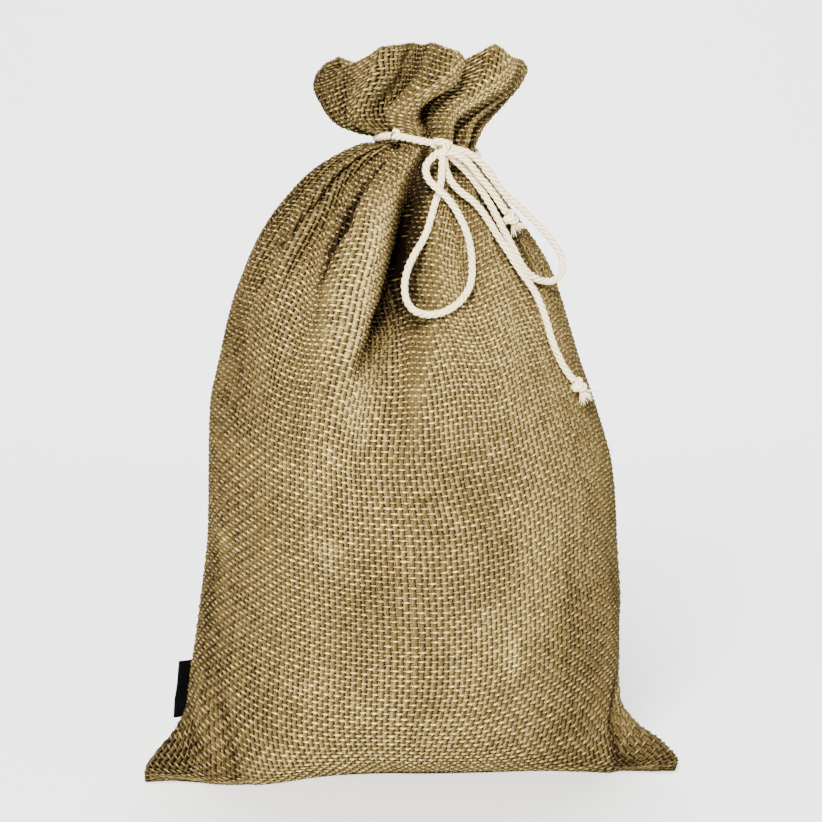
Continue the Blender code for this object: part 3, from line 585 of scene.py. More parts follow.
class Bench:
    """Adds nodes to one node tree and wires them."""

    def __init__(self, tree: bpy.types.NodeTree) -> None:
        """Starts on an empty tree.

        Args:
            tree: The tree to fill.
        """
        self.tree = tree
        tree.nodes.clear()

    def add(self, kind: str, **settings) -> bpy.types.Node:
        """Adds a node.

        Args:
            kind: Its type's name.
            settings: Its properties.

        Returns:
            The node.
        """
        node = self.tree.nodes.new(kind)
        for name, value in settings.items():
            setattr(node, name, value)
        return node

    def feed(self, socket: bpy.types.NodeSocket, value) -> None:
        """Wires a socket's output, or sets a plain value, into an input.

        Args:
            socket: The input.
            value: An output socket, a number, a colour or a vector.
        """
        if isinstance(value, bpy.types.NodeSocket):
            self.tree.links.new(value, socket)
        else:
            socket.default_value = value

    def math(self, step: str, first, second=0.0) -> bpy.types.NodeSocket:
        """Works out a number from two others.

        Args:
            step: The name of the sum, such as MULTIPLY.
            first: A socket or a number.
            second: A socket or a number.

        Returns:
            The result's socket.
        """
        node = self.add("ShaderNodeMath", operation=step)
        self.feed(node.inputs[0], first)
        self.feed(node.inputs[1], second)
        return node.outputs[0]

    def mixed(self, share, first, second) -> bpy.types.NodeSocket:
        """Mixes two colours.

        Args:
            share: How much of the second shows.
            first: A socket or a colour.
            second: A socket or a colour.

        Returns:
            The mixed colour's socket.
        """
        node = self.add("ShaderNodeMix", data_type="RGBA")
        self.feed(node.inputs["Factor"], share)
        for socket, value in ((node.inputs["A"], first), (node.inputs["B"], second)):
            self.feed(socket, value if isinstance(value, bpy.types.NodeSocket) else (*value, 1.0))
        return node.outputs["Result"]

    def noise(self, place, scale: float, detail: float = 2.0) -> bpy.types.NodeSocket:
        """A soft random pattern.

        Args:
            place: The vector that it is read at.
            scale: How many lumps go in one unit.
            detail: How many finer layers it has.

        Returns:
            The pattern's socket.
        """
        node = self.add("ShaderNodeTexNoise")
        self.feed(node.inputs["Vector"], place)
        self.feed(node.inputs["Scale"], scale)
        self.feed(node.inputs["Detail"], detail)
        return node.outputs["Fac"]

    def ramp(self, value, low: float, high: float) -> bpy.types.NodeSocket:
        """Spreads a stretch of a value over 0 to 1.

        Args:
            value: The value's socket.
            low: What becomes 0.
            high: What becomes 1.

        Returns:
            The result's socket.
        """
        node = self.add("ShaderNodeMapRange", interpolation_type="SMOOTHSTEP")
        self.feed(node.inputs["Value"], value)
        self.feed(node.inputs["From Min"], low)
        self.feed(node.inputs["From Max"], high)
        return node.outputs["Result"]

    def scaled(self, vector, factor) -> bpy.types.NodeSocket:
        """A vector made longer.

        Args:
            vector: Its socket.
            factor: By how much, a socket or a number.

        Returns:
            The longer vector's socket.
        """
        node = self.add("ShaderNodeVectorMath", operation="SCALE")
        self.feed(node.inputs[0], vector)
        self.feed(node.inputs["Scale"], factor)
        return node.outputs[0]

    def attribute(self, name: str, kind: str = "Fac") -> bpy.types.NodeSocket:
        """An attribute of the piece's mesh, read as a number or as another of its outputs."""
        return self.add("ShaderNodeAttribute", attribute_name=name).outputs[kind]

    def bump(self, shader: bpy.types.Node, height, distance: float, strength: float = 1.0) -> None:
        """Raises the surface that a shader lights.

        Args:
            shader: The shader.
            height: The socket of the height, from 0 to 1.
            distance: How far up 1 is, in millimetres.
            strength: How strongly it shows.
        """
        node = self.add("ShaderNodeBump")
        node.inputs["Strength"].default_value = strength
        node.inputs["Distance"].default_value = distance * MM
        self.feed(node.inputs["Height"], height)
        self.feed(shader.inputs["Normal"], node.outputs["Normal"])


def start_group(name: str, inputs: tuple[tuple[str, str], ...], outputs: tuple[str, ...]) -> Bench:
    """Starts a shader node group.

    Args:
        name: The group's name.
        inputs: Each input's name and socket type.
        outputs: The names of its number outputs.

    Returns:
        A bench on the group's tree, with its two end nodes added.
    """
    tree = bpy.data.node_groups.new(name, "ShaderNodeTree")
    for label, kind in inputs:
        tree.interface.new_socket(label, in_out="INPUT", socket_type=kind)
    for label in outputs:
        tree.interface.new_socket(label, in_out="OUTPUT", socket_type="NodeSocketFloat")
    bench = Bench(tree)
    bench.add("NodeGroupInput", name="start")
    bench.add("NodeGroupOutput", name="end")
    return bench


def fibre_group() -> bpy.types.NodeTree:
    """Fine fibres along a thread, from the thread's own place attribute, built once.

    Returns:
        The group: Tone is the fibres' light and dark, and Height how far they stand out.
    """
    known = bpy.data.node_groups.get("thread_fibres")
    if known:
        return known
    inputs = (("Place", "NodeSocketVector"), ("Fineness", "NodeSocketFloat"))
    bench = start_group("thread_fibres", inputs, ("Tone", "Height"))
    start, end = bench.tree.nodes["start"], bench.tree.nodes["end"]
    place = bench.scaled(start.outputs["Place"], start.outputs["Fineness"])
    coarse = bench.noise(place, 1.0, 2.0)
    fine = bench.noise(place, 3.1, 3.0)
    bench.feed(end.inputs["Tone"], bench.ramp(coarse, 0.3, 0.7))
    bench.feed(end.inputs["Height"], bench.math("ADD", bench.math("MULTIPLY", coarse, 0.6), fine))
    return bench.tree


def mottle_group() -> bpy.types.NodeTree:
    """Wide uneven patches over a whole piece, on its object coordinates, built once.

    Returns:
        The group: Mask is 0 to 1 in soft patches.
    """
    known = bpy.data.node_groups.get("uneven_patches")
    if known:
        return known
    bench = start_group("uneven_patches", (("Patch size", "NodeSocketFloat"),), ("Mask",))
    start, end = bench.tree.nodes["start"], bench.tree.nodes["end"]
    place = bench.add("ShaderNodeTexCoord").outputs["Object"]
    place = bench.scaled(place, bench.math("DIVIDE", 1.0, start.outputs["Patch size"]))
    bench.feed(end.inputs["Mask"], bench.ramp(bench.noise(place, 1.0, 3.0), 0.35, 0.65))
    return bench.tree


# The stretches of a thread's tone over which its colour changes, and the fibres' part in that tone
UNLIT_TO_DEEP = (-0.75, -0.1)
DEEP_TO_BODY = (0.0, 0.7)
BODY_TO_SHINE = (0.7, 1.3)
FIBRE_SHARE = 0.4


@dataclass(frozen=True)
class Finish:
    """A material with one Principled shader, which each kind of finish wires in its own way."""

    name: str
    roughness: float = field(kw_only=True)
    specular: float = field(kw_only=True)

    def build(self) -> bpy.types.Material:
        """The finish as a material, made on its first use.

        Returns:
            The material.
        """
        known = bpy.data.materials.get(self.name)
        if known:
            return known
        material = bpy.data.materials.new(self.name)
        material.use_nodes = True
        bench = Bench(material.node_tree)
        shader = bench.add("ShaderNodeBsdfPrincipled")
        shader.inputs["Roughness"].default_value = self.roughness
        shader.inputs["Specular IOR Level"].default_value = self.specular
        output = bench.add("ShaderNodeOutputMaterial")
        bench.feed(output.inputs["Surface"], shader.outputs["BSDF"])
        self.wire(bench, shader)
        return material


@dataclass(frozen=True)
class SpunFinish(Finish):
    """Spun fibre: jute yarn, cotton strands or sewing thread.

    The tone attribute of a piece, about 0.5, makes its threads lighter or darker. It carries their own uneven
    tone and painted light and shade, so the shine colour mostly shows as painted highlight, and deep and
    unlit as painted shade.
    """

    slot: Slot
    deep: Color
    body: Color
    shine: Color
    sheen: float
    fineness: float
    relief: float
    patch_size: float
    patch_share: float
    unlit: Color = srgb(24, 15, 6)

    def wire(self, bench: Bench, shader: bpy.types.Node) -> None:
        """Colours the fibres and raises them.

        Args:
            bench: The bench on the material's nodes.
            shader: Its shader.
        """
        fibres = bench.add("ShaderNodeGroup", node_tree=fibre_group())
        bench.feed(fibres.inputs["Place"], bench.attribute("fibre", "Vector"))
        bench.feed(fibres.inputs["Fineness"], self.fineness)
        mottle = bench.add("ShaderNodeGroup", node_tree=mottle_group())
        bench.feed(mottle.inputs["Patch size"], self.patch_size)
        patch = bench.math("MULTIPLY", mottle.outputs["Mask"], self.patch_share)
        fibre_tone = bench.math("MULTIPLY", fibres.outputs["Tone"], FIBRE_SHARE)
        level = bench.math("ADD", fibre_tone, bench.attribute("tone"))
        level = bench.math("SUBTRACT", level, patch)
        color = bench.mixed(bench.ramp(level, *DEEP_TO_BODY), self.deep, self.body)
        color = bench.mixed(bench.ramp(level, *BODY_TO_SHINE), color, self.shine)
        color = bench.mixed(bench.ramp(level, *UNLIT_TO_DEEP), self.unlit, color)
        bench.feed(shader.inputs["Base Color"], color)
        shader.inputs["Sheen Weight"].default_value = self.sheen
        shader.inputs["Sheen Roughness"].default_value = 0.5
        bench.bump(shader, fibres.outputs["Height"], self.relief, 0.7)


@dataclass(frozen=True)
class ShadeFinish(Finish):
    """The sheet in the weave.

    From outside it is what shows through the gaps: mid brown for the far layer's lit threads, and painted
    shade near black where the sheet's gap-shade share or random specks call for it. From inside it is the
    weave's own back, with the same painted shade between its threads.
    """

    near: Color
    far: Color
    inside: Color

    def wire(self, bench: Bench, shader: bpy.types.Node) -> None:
        """Colours the gaps outside, mid brown or in painted shade, and the weave's back inside.

        Args:
            bench: The bench on the material's nodes.
            shader: Its shader.
        """
        place = bench.add("ShaderNodeTexCoord").outputs["Object"]
        # Random specks of the gaps are painted near black as well, as where the shaded inside shows through
        dark_gap_specks = bench.ramp(bench.noise(place, 160.0, 2.0), 0.6, 0.72)
        share = bench.math("MAXIMUM", bench.attribute("painted_gap_shade"), bench.math("MULTIPLY", dark_gap_specks, 0.8))
        weave = bench.add("ShaderNodeSeparateXYZ")
        bench.feed(weave.inputs[0], bench.attribute("weave", "Vector"))
        turns = [bench.math("MULTIPLY", weave.outputs[axis], math.pi) for axis in ("X", "Y")]
        waves = [bench.math("SINE", turn) for turn in turns]
        round_backs = [bench.math("ABSOLUTE", wave) for wave in waves]
        weft_on_top = bench.math("GREATER_THAN", bench.math("MULTIPLY", *waves), 0.0)
        weft = bench.math("MULTIPLY", round_backs[1], weft_on_top)
        warp = bench.math("MULTIPLY", round_backs[0], bench.math("SUBTRACT", 1.0, weft_on_top))
        thread = bench.math("ADD", weft, warp)
        # Seen from inside, the gaps between the threads get the painted shade colour too
        back = bench.mixed(bench.ramp(thread, 0.25, 0.95), self.far, self.inside)
        facing = bench.add("ShaderNodeNewGeometry").outputs["Backfacing"]
        outside = bench.mixed(share, self.near, self.far)
        bench.feed(shader.inputs["Base Color"], bench.mixed(facing, outside, back))
        bench.bump(shader, bench.math("MULTIPLY", thread, facing), 0.4)


@dataclass(frozen=True)
class RibbonFinish(Finish):
    """A woven ribbon: fine ribs across it and a slight lustre."""

    body: Color
    worn: Color
    rib: float

    def wire(self, bench: Bench, shader: bpy.types.Node) -> None:
        """Colours the ribbon and raises its ribs.

        Args:
            bench: The bench on the material's nodes.
            shader: Its shader.
        """
        map_place = bench.add("ShaderNodeUVMap", uv_map="ribbon").outputs["UV"]
        ribs = bench.add("ShaderNodeTexWave", wave_type="BANDS", bands_direction="Y")
        bench.feed(ribs.inputs["Vector"], map_place)
        bench.feed(ribs.inputs["Scale"], 1.0 / self.rib)
        bench.feed(ribs.inputs["Distortion"], 0.4)
        wear = bench.ramp(bench.noise(map_place, 0.9, 3.0), 0.52, 0.75)
        bench.feed(shader.inputs["Base Color"], bench.mixed(wear, self.body, self.worn))
        bench.bump(shader, ribs.outputs["Fac"], 0.08, 0.5)


JUTE_YARN = SpunFinish(
    "jute_yarn", Slot.JUTE, srgb(84, 69, 38), srgb(156, 137, 90), srgb(248, 220, 142),
    roughness=0.72, specular=0.06, sheen=0.0, fineness=1.0, relief=0.10, patch_size=0.035, patch_share=0.12,
)  # fmt: skip
JUTE_SHADE = ShadeFinish(
    "weave_gaps", srgb(136, 111, 66), srgb(12, 7, 4), srgb(178, 152, 104), roughness=0.95, specular=0.0
)
COTTON = SpunFinish(
    "twisted_cotton", Slot.COTTON, srgb(158, 136, 94), srgb(246, 229, 184), srgb(255, 247, 218),
    roughness=0.85, specular=0.06, sheen=0.1, fineness=1.6, relief=0.07, patch_size=0.02, patch_share=0.06,
)  # fmt: skip
SEWING_THREAD = SpunFinish(
    "sewing_thread", Slot.THREAD, srgb(70, 66, 48), srgb(120, 116, 92), srgb(160, 156, 130),
    roughness=0.7, specular=0.06, sheen=0.1, fineness=2.0, relief=0.03, patch_size=0.02, patch_share=0.05,
)  # fmt: skip
BLACK_RIBBON = RibbonFinish(
    "black_ribbon", srgb(2, 2, 3), srgb(9, 9, 10), rib=0.42, roughness=0.7, specular=0.05
)


@dataclass
class TubeSet:
    """Closed tubes of even rings, made as one tube and an array of it.

    Each vertex knows its tube, its ring and its bearing round the ring, so a formula can lay it.
    """

    name: str
    count: int
    rings: int
    corners: int
    apart: float = 10.0
    mesh: bpy.types.Mesh = field(init=False)
    tube: np.ndarray = field(init=False)
    ring: np.ndarray = field(init=False)
    bearing: np.ndarray = field(init=False)

    def __post_init__(self) -> None:
        """Makes the tubes side by side and reads each vertex's place on them."""
        pattern = bmesh.new()
        sizes = {"segments": self.corners, "radius1": 1.0, "radius2": 1.0, "depth": 2.0}
        bmesh.ops.create_cone(pattern, cap_ends=True, **sizes)
        sides = [e for e in pattern.edges if abs(e.verts[0].co.z - e.verts[1].co.z) > 1.0]
        bmesh.ops.subdivide_edges(pattern, edges=sides, cuts=self.rings - 2, use_grid_fill=True)
        first = mesh_from(pattern, f"{self.name}_pattern")
        holder = put(f"{self.name}_pattern", first)
        array = holder.modifiers.new("side_by_side", "ARRAY")
        array.use_relative_offset = False
        array.use_constant_offset = True
        array.constant_offset_displace = (self.apart, 0.0, 0.0)
        array.count = self.count
        graph = bpy.context.evaluated_depsgraph_get()
        self.mesh = bpy.data.meshes.new_from_object(holder.evaluated_get(graph))
        self.mesh.name = self.name
        bpy.data.objects.remove(holder)
        bpy.data.meshes.remove(first)
        place = np.empty(len(self.mesh.vertices) * 3, np.float32)
        self.mesh.vertices.foreach_get("co", place)
        place = place.reshape(-1, 3).astype(float)
        self.tube = np.rint(place[:, 0] / self.apart).astype(int)
        self.ring = np.rint((place[:, 2] + 1) / 2 * (self.rings - 1)).astype(int)
        self.bearing = np.arctan2(place[:, 1], place[:, 0] - self.tube * self.apart)

    def finish(
        self, points: np.ndarray, along: np.ndarray, twist: float, tone: np.ndarray, finish: SpunFinish
    ) -> bpy.types.Object:
        """Lays the vertices and dresses the tubes.

        Args:
            points: Each vertex's place, in millimetres.
            along: How far along its tube each vertex is, in millimetres.
            twist: How much the fibres turn about the tube, in radians a millimetre.
            tone: Each vertex's shade, about 0.5.
            finish: The finish.

        Returns:
            The piece.
        """
        self.mesh.vertices.foreach_set("co", (points * MM).astype(np.float32).ravel())
        turn = self.bearing + along * twist
        fibre = np.stack([along * 0.35 + self.tube * 7.3, np.cos(turn), np.sin(turn)], axis=-1)
        layer = self.mesh.attributes.new("fibre", "FLOAT_VECTOR", "POINT")
        layer.data.foreach_set("vector", fibre.astype(np.float32).ravel())
        layer = self.mesh.attributes.new("tone", "FLOAT", "POINT")
        layer.data.foreach_set("value", tone.astype(np.float32))
        return add_piece(self.name, self.mesh, finish.build())


def add_piece(name: str, mesh: bpy.types.Mesh, material: bpy.types.Material) -> bpy.types.Object:
    """Puts a finished mesh in the scene, on the part's one body.

    Args:
        name: The piece's name.
        mesh: Its mesh, in metres.
        material: Its material.

    Returns:
        The piece.
    """
    mesh.materials.clear()
    mesh.materials.append(material)
    mesh.shade_smooth()
    mesh.update()
    piece = put(name, mesh)
    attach(piece, BODY)
    return piece


# Soft oval patches of the cloth. amount is how much the cloth is darker or paler at the middle, or how much
# more painted shade its gaps get there.
PATCH_COLUMNS = ("cloth", "up", "half_width", "half_height", "amount")
FOLD_SHADE = (
    (95, 232, 6, 15, 1.2), (91, 212, 6, 12, 1.2), (85, 195, 5, 12, 0.4), (98, 248, 6, 10, 0.5),
    (54, 288, 11, 22, 0.42), (92, 282, 6, 12, 0.5), (125, 285, 14, 20, 0.12), (67, 240, 3, 16, 0.4),
    (67, 222, 4, 12, 0.4), (45, 244, 2.5, 16, 0.3), (91, 276, 5, 12, 0.6), (150, 248, 4, 16, 0.3),
    (167, 224, 5, 20, 0.3),
)  # fmt: skip
# Pale worn spots of the jute itself, together with painted light and shade: lit stretches such as the ridge
# and the ruffle's left side painted paler, and stretches such as the right side painted darker.
PALE_SPOTS_AND_PAINTED_LIGHT = (
    (24, 105, 5, 3, 0.22), (71, 120, 7, 4, 0.16), (134, 77, 3.5, 7, 0.2), (62, 66, 8, 4, 0.14),
    (84, 62, 7, 4, 0.12), (107, 140, 3, 2, -0.2), (108, 127, 5, 4, -0.14), (120, 110, 18, 14, -0.06),
    (60, 150, 22, 20, 0.07), (100, 165, 26, 24, 0.08), (150, 130, 24, 30, 0.03), (160, 60, 20, 30, -0.10),
    (30, 60, 22, 24, -0.05), (300, 120, 30, 40, -0.05), (250, 70, 26, 20, 0.06), (45, 290, 18, 14, 0.11),
    (76, 220, 12, 30, 0.17), (168, 110, 22, 80, -0.10), (95, 75, 40, 40, 0.06), (112, 288, 14, 14, 0.10),
    (110, 225, 12, 16, 0.06),
)  # fmt: skip
# Painted shade in the gaps, where the shaded inside shows through darker
GAP_SHADE_PATCHES = ((160, 218, 26, 30, 0.35),)

# The stretches of the run over which the weave changes, and over which painted shade sets in on the threads
# at the neck and lifts from them at the foot, and sets in on the gaps at the neck. SIDES_DIM is a distance
# from the middle of a face, over which painted shade sets in towards the side seams.
NECK_THINS = (190.0, 280.0)
HEM_THICKENS = (294.0, 301.0)
NECK_DIMS = (190.0, 245.0)
NECK_GAP_SHADE_RISES = (190.0, 262.0)
FOOT_LIGHTENS = (4.0, 44.0)
SIDES_DIM = (40.0, 92.0)
# Where the foot's threads are thinnest, so its gaps widest, and where its gaps get the most painted shade,
# each with how far that reaches
FOOT_THINS = (16.0, 9.0)
FOOT_GAP_SHADE_AT = (15.0, 10.0)


def patches(rows: tuple, cloth: np.ndarray, run: np.ndarray) -> np.ndarray:
    """What a table of patches adds up to.

    Args:
        rows: The table's rows.
        cloth: The places round the cloth.
        run: The places up it.

    Returns:
        The sum at each place.
    """
    total = np.zeros_like(run)
    for row in rows:
        patch = dict(zip(PATCH_COLUMNS, row))
        aside = (cloth - patch["cloth"]) / patch["half_width"]
        above = (run - patch["up"]) / patch["half_height"]
        total += patch["amount"] * np.exp(-(aside**2) - above**2)
    return total


@dataclass(frozen=True)
class ThreadSet:
    """One set of threads: how wide they are, and the light and shade painted on them.

    share is their width for each unit of their pitch. The other numbers are changes of tone, painted light
    and
    shade: base keeps the warps darker than the wefts as painted shade, the tops of floats get a painted
    highlight that weakens towards the side seams, the parts below get painted shade, the left edges and
    crowns a painted highlight and the right edges painted shade, and edge_base lowers that edge tone all
    round.
    """

    share: float
    seed: int
    base: float
    top_highlight: float
    side_highlight_loss: float
    below: float
    left_edge_highlight: float
    right_edge_shade: float
    crown_highlight: float
    edge_base: float = -0.12

    def tone(self, over: np.ndarray, side_share: np.ndarray) -> np.ndarray:
        """The painted light and shade that a thread's height in the weave gives it: highlight on top, shade
        below.

        Args:
            over: 1 where it lies on top and -1 where it lies below.
            side_share: How near it is to a side seam, from 0 to 1.

        Returns:
            The tone.
        """
        top = self.top_highlight - self.side_highlight_loss * side_share
        return self.base + top * np.maximum(over, 0.0) + self.below * np.minimum(over, 0.0)

    def edge_light_and_shade(self, turn: np.ndarray) -> np.ndarray:
        """The painted highlight and shade on each side of a thread.

        Args:
            turn: The bearing round the thread.

        Returns:
            The tone.
        """
        left, right = np.maximum(-np.cos(turn), 0.0), np.maximum(np.cos(turn), 0.0)
        return self.left_edge_highlight * left + self.right_edge_shade * right + self.crown_highlight * np.sin(turn) + self.edge_base


THREAD_SETS = {
    Side.WARP: ThreadSet(
        share=1.02, seed=61, base=-0.13, top_highlight=0.08, side_highlight_loss=0.0, below=0.08,
        left_edge_highlight=1.1, right_edge_shade=-0.16, crown_highlight=0.0,
    ),
    Side.WEFT: ThreadSet(
        share=0.47, seed=101, base=0.28, top_highlight=0.56, side_highlight_loss=0.22, below=0.1,
        left_edge_highlight=0.0, right_edge_shade=0.0, crown_highlight=0.34,
    ),
}  # fmt: skip


@dataclass
class WovenPouch:
    """The bag: a plain weave of jute yarns on a thin sheet that stands for the shade between them.

    Widths, heights and pitches are in millimetres. A patch's place is along the run, up the cloth.
    """

    cloth: GatheredCloth = CLOTH
    warps: int = 208
    weft_pitch: float = 1.825
    bundles: int = 3
    yarn_least: float = 0.7
    yarn_most: float = 2.1
    yarn_thick: float = 0.46
    corner_share: float = 0.577
    crowding: float = 1.08
    overlap: float = 0.15
    crossing_flare: float = 0.08
    uneven_thread: float = 0.06
    uneven_lump: float = 0.11
    lump_smoothings: int = 3
    neck_thinning: float = 0.17
    foot_thinning: float = 0.14
    wave: float = 0.34
    drift: float = 0.13
    hem_calm: float = 285.0
    fibre_twist: float = 1.1
    thread_tone: float = 0.035
    lump_tone: float = 0.07
    shade_strength: float = 1.1
    foot_shade: float = 0.34
    crease_shade: float = 0.13
    crease_shade_most: float = 0.45
    side_painted_shade: float = 0.25
    neck_painted_shade: float = 0.13
    patch_strength: float = 1.5
    sheet_sunk: float = 0.55
    sheet_least_sunk: float = 0.08
    neck_gap_shade: float = 0.6
    least_gap_shade: float = 0.14
    foot_gap_shade: float = 0.35
    sheet_columns: int = 220
    sheet_rows: int = 124
    floor: float = 0.02
    even: EvenLay = field(default_factory=lambda: EvenLay(CLOTH))

    @property
    def wefts(self) -> int:
        """How many weft threads fit up the cloth, with the turned hem."""
        return int(self.cloth.run / self.weft_pitch)

    @property
    def warp_pitch(self) -> float:
        """The warps' pitch in the flat cloth."""
        return self.cloth.around / self.warps

    def wander(self, thread: np.ndarray, place: np.ndarray, seed: float) -> np.ndarray:
        """How far a thread strays from its even place.

        Args:
            thread: The thread's number.
            place: Where along the thread.
            seed: Sets one family of threads apart from another.

        Returns:
            The stray, in millimetres.
        """
        turn = np.mod(np.sin((thread + seed) * 12.9898) * 43758.5453, 2 * math.pi)
        along_thread = np.sin(place / 11.0 + turn * 3) + 0.7 * np.sin(place / 4.7 + turn * 5 + seed)
        whole_thread = np.sin(turn * 7)
        return self.drift * (0.55 * along_thread + 0.8 * whole_thread)

    def bias(self, cloth: np.ndarray, run: np.ndarray) -> tuple[np.ndarray, np.ndarray]:
        """How the whole weave is pulled out of square.

        Args:
            cloth: The places round the cloth.
            run: The places up it.

        Returns:
            The pull round the cloth and the pull up it, in millimetres.
        """
        turn = 2 * math.pi * cloth / self.cloth.around
        calm = smoothstep(0.0, 40.0, run) * (1 - smoothstep(self.hem_calm, self.cloth.height, run))
        pull_round = 0.7 * np.sin(run / 47.0 + turn) + 0.4 * np.sin(run / 19.0 - 2 * turn)
        pull_up = 0.7 * np.sin(2 * turn + run / 60.0) + 0.4 * np.sin(5 * turn + 0.7)
        return pull_round * calm * np.abs(np.sin(turn)), pull_up * calm

    def node_place(self, warp: np.ndarray, weft: np.ndarray) -> tuple[np.ndarray, np.ndarray]:
        """Where two threads cross, also for half steps between two crossings.

        Args:
            warp: The warp's number.
            weft: The weft's number.

        Returns:
            The place round the cloth and the place up it.
        """
        cloth = (warp + 0.5) * self.warp_pitch
        run = (weft + 0.5) * self.weft_pitch
        pull_round, pull_up = self.bias(cloth, run)
        pull_round = pull_round + self.even.shift(Side.WARP, cloth, run)
        pull_up = pull_up + self.even.shift(Side.WEFT, cloth, run)
        cloth_placed = cloth + pull_round + self.wander(np.floor(warp + 0.25), run, 3.0)
        run_placed = run + pull_up + self.wander(np.floor(weft + 0.25), cloth, 8.0) * (run > 2.0)
        return cloth_placed, np.clip(run_placed, 0.3, self.cloth.run)

    def bundle(self, side: Side, number: int) -> bpy.types.Object:
        """One bundle of neighbouring threads.

        Args:
            side: Warp or weft.
            number: Which bundle, from 0.

        Returns:
            The bundle's piece.
        """
        is_warp, kind = side is Side.WARP, THREAD_SETS[side]
        threads, crossings, pitch, spacing = self.warps, self.wefts, self.warp_pitch, self.weft_pitch
        if not is_warp:
            threads, crossings, pitch, spacing = crossings, threads, spacing, pitch
        first = threads * number // self.bundles
        count = threads * (number + 1) // self.bundles - first
        tubes = TubeSet(f"{side.value}_threads_{number + 1}", count, crossings * 2 - 1, 3)
        thread_table = np.repeat(np.arange(first, first + count), tubes.rings)
        step_table = np.tile(np.arange(tubes.rings) / 2, count)
        warp, weft = (thread_table, step_table) if is_warp else (step_table, thread_table)
        cloth, run = self.node_place(warp.astype(float), weft.astype(float))
        middle, round_way, up_way, out = self.cloth.laid(cloth, run)
        sideways = round_way if is_warp else up_way
        over = np.cos(math.pi * (warp + weft)) * (1 if is_warp else -1)
        rng = np.random.default_rng(kind.seed + number)
        lumps = rng.normal(0.0, 1.0, (count, tubes.rings))
        for _ in range(self.lump_smoothings):
            lumps = (np.roll(lumps, 1, 1) + 2 * lumps + np.roll(lumps, -1, 1)) / 3.2
        each = rng.normal(0.0, 1.0, count)[:, None]
        thick = (1 + self.uneven_thread * each + self.uneven_lump * lumps).ravel()
        local = np.linalg.norm(sideways, axis=1) * pitch
        at_neck = smoothstep(*NECK_THINS, run) * (1 - smoothstep(*HEM_THICKENS, run))
        at_foot = hump(run - FOOT_THINS[0], FOOT_THINS[1])
        sparse = 1 - self.neck_thinning * at_neck - self.foot_thinning * at_foot
        wide = np.clip(kind.share * local, self.yarn_least, self.yarn_most) * thick * sparse
        wide = np.minimum(wide, local * self.crowding + self.overlap)
        wide *= 1 + self.crossing_flare * np.abs(over)
        centre = middle + out * (self.wave * over)[:, None]
        spot = (tubes.tube * tubes.rings) + tubes.ring
        turn = tubes.bearing + math.pi / 2 - tubes.bearing.max()
        lean = unit(sideways)[spot]
        tall = (self.yarn_thick * thick)[spot] * np.sin(turn)
        reach = np.cos(turn) * wide[spot] * self.corner_share
        points = centre[spot] + lean * reach[:, None] + out[spot] * tall[:, None]
        points[:, 2] = np.maximum(points[:, 2], self.floor)
        # Tone: each thread's and each lump's own unevenness and the cloth's pale spots, with painted light
        # and shade from the weave's height, the sides, the neck and the deep folds; each thread's edges get
        # painted highlight and shade.
        tone = (self.thread_tone * each + self.lump_tone * lumps).ravel() + self.spots_and_painted_light(cloth, run)
        tone += kind.tone(over, self.side_share(cloth))
        tone -= self.shade_strength * self.depth_shade(cloth, run)
        shade = tone[spot] + kind.edge_light_and_shade(turn)
        return tubes.finish(points, tubes.ring * spacing / 2, self.fibre_twist, shade, JUTE_YARN)

    def side_share(self, cloth: np.ndarray) -> np.ndarray:
        """How near a place is to a side seam, from 0 at the belly's middle to 1."""
        half = self.cloth.around / 2
        return smoothstep(*SIDES_DIM, np.abs(np.mod(cloth, half) - half / 2))

    def spots_and_painted_light(self, cloth: np.ndarray, run: np.ndarray) -> np.ndarray:
        """Pale worn spots of the cloth together with painted light and shade, as the photo shows them:
        painted shade towards the side seams and up towards the neck, and the table's paler and darker
        patches.

        Args:
            cloth: The places round the cloth.
            run: The places up it.

        Returns:
            What they add to the tone.
        """
        tone = -self.side_painted_shade * self.side_share(cloth) - self.neck_painted_shade * smoothstep(*NECK_DIMS, run)
        return tone + self.patch_strength * patches(PALE_SPOTS_AND_PAINTED_LIGHT, cloth, run)

    def depth_shade(self, cloth: np.ndarray, run: np.ndarray) -> np.ndarray:
        """How little light reaches the cloth, in its deepest folds and low at its foot.

        Args:
            cloth: The places round the cloth.
            run: The places up it.

        Returns:
            The shade, from 0 to 1.
        """
        relief = self.cloth.relief(cloth, np.minimum(run, self.cloth.height))
        shade = self.foot_shade * (1 - smoothstep(*FOOT_LIGHTENS, run))
        shade += np.clip(-self.crease_shade * relief, 0.0, self.crease_shade_most)
        return np.clip(shade + patches(FOLD_SHADE, cloth, run), 0.0, 1.0)

    def shade_sheet(self) -> bpy.types.Object:
        """The thin sheet in the middle of the weave.

        Returns:
            The sheet's piece.
        """
        grid = bmesh.new()
        bmesh.ops.create_grid(grid, x_segments=self.sheet_columns, y_segments=self.sheet_rows, size=1.0)
        shares = np.array([vertex.co[:2] for vertex in grid.verts])
        cloth = (shares[:, 0] + 1) / 2 * self.cloth.around
        run = (shares[:, 1] + 1) / 2 * self.cloth.run
        middle, _, _, face = self.cloth.laid(cloth, run)
        from_fold = np.abs(run - self.cloth.height - math.pi / 2 * self.cloth.hem_roll)
        sunk = self.sheet_least_sunk + self.sheet_sunk * smoothstep(0.5, 4.0, from_fold)
        points = middle - face * sunk[:, None]
        points[:, 2] = np.maximum(points[:, 2], self.floor)
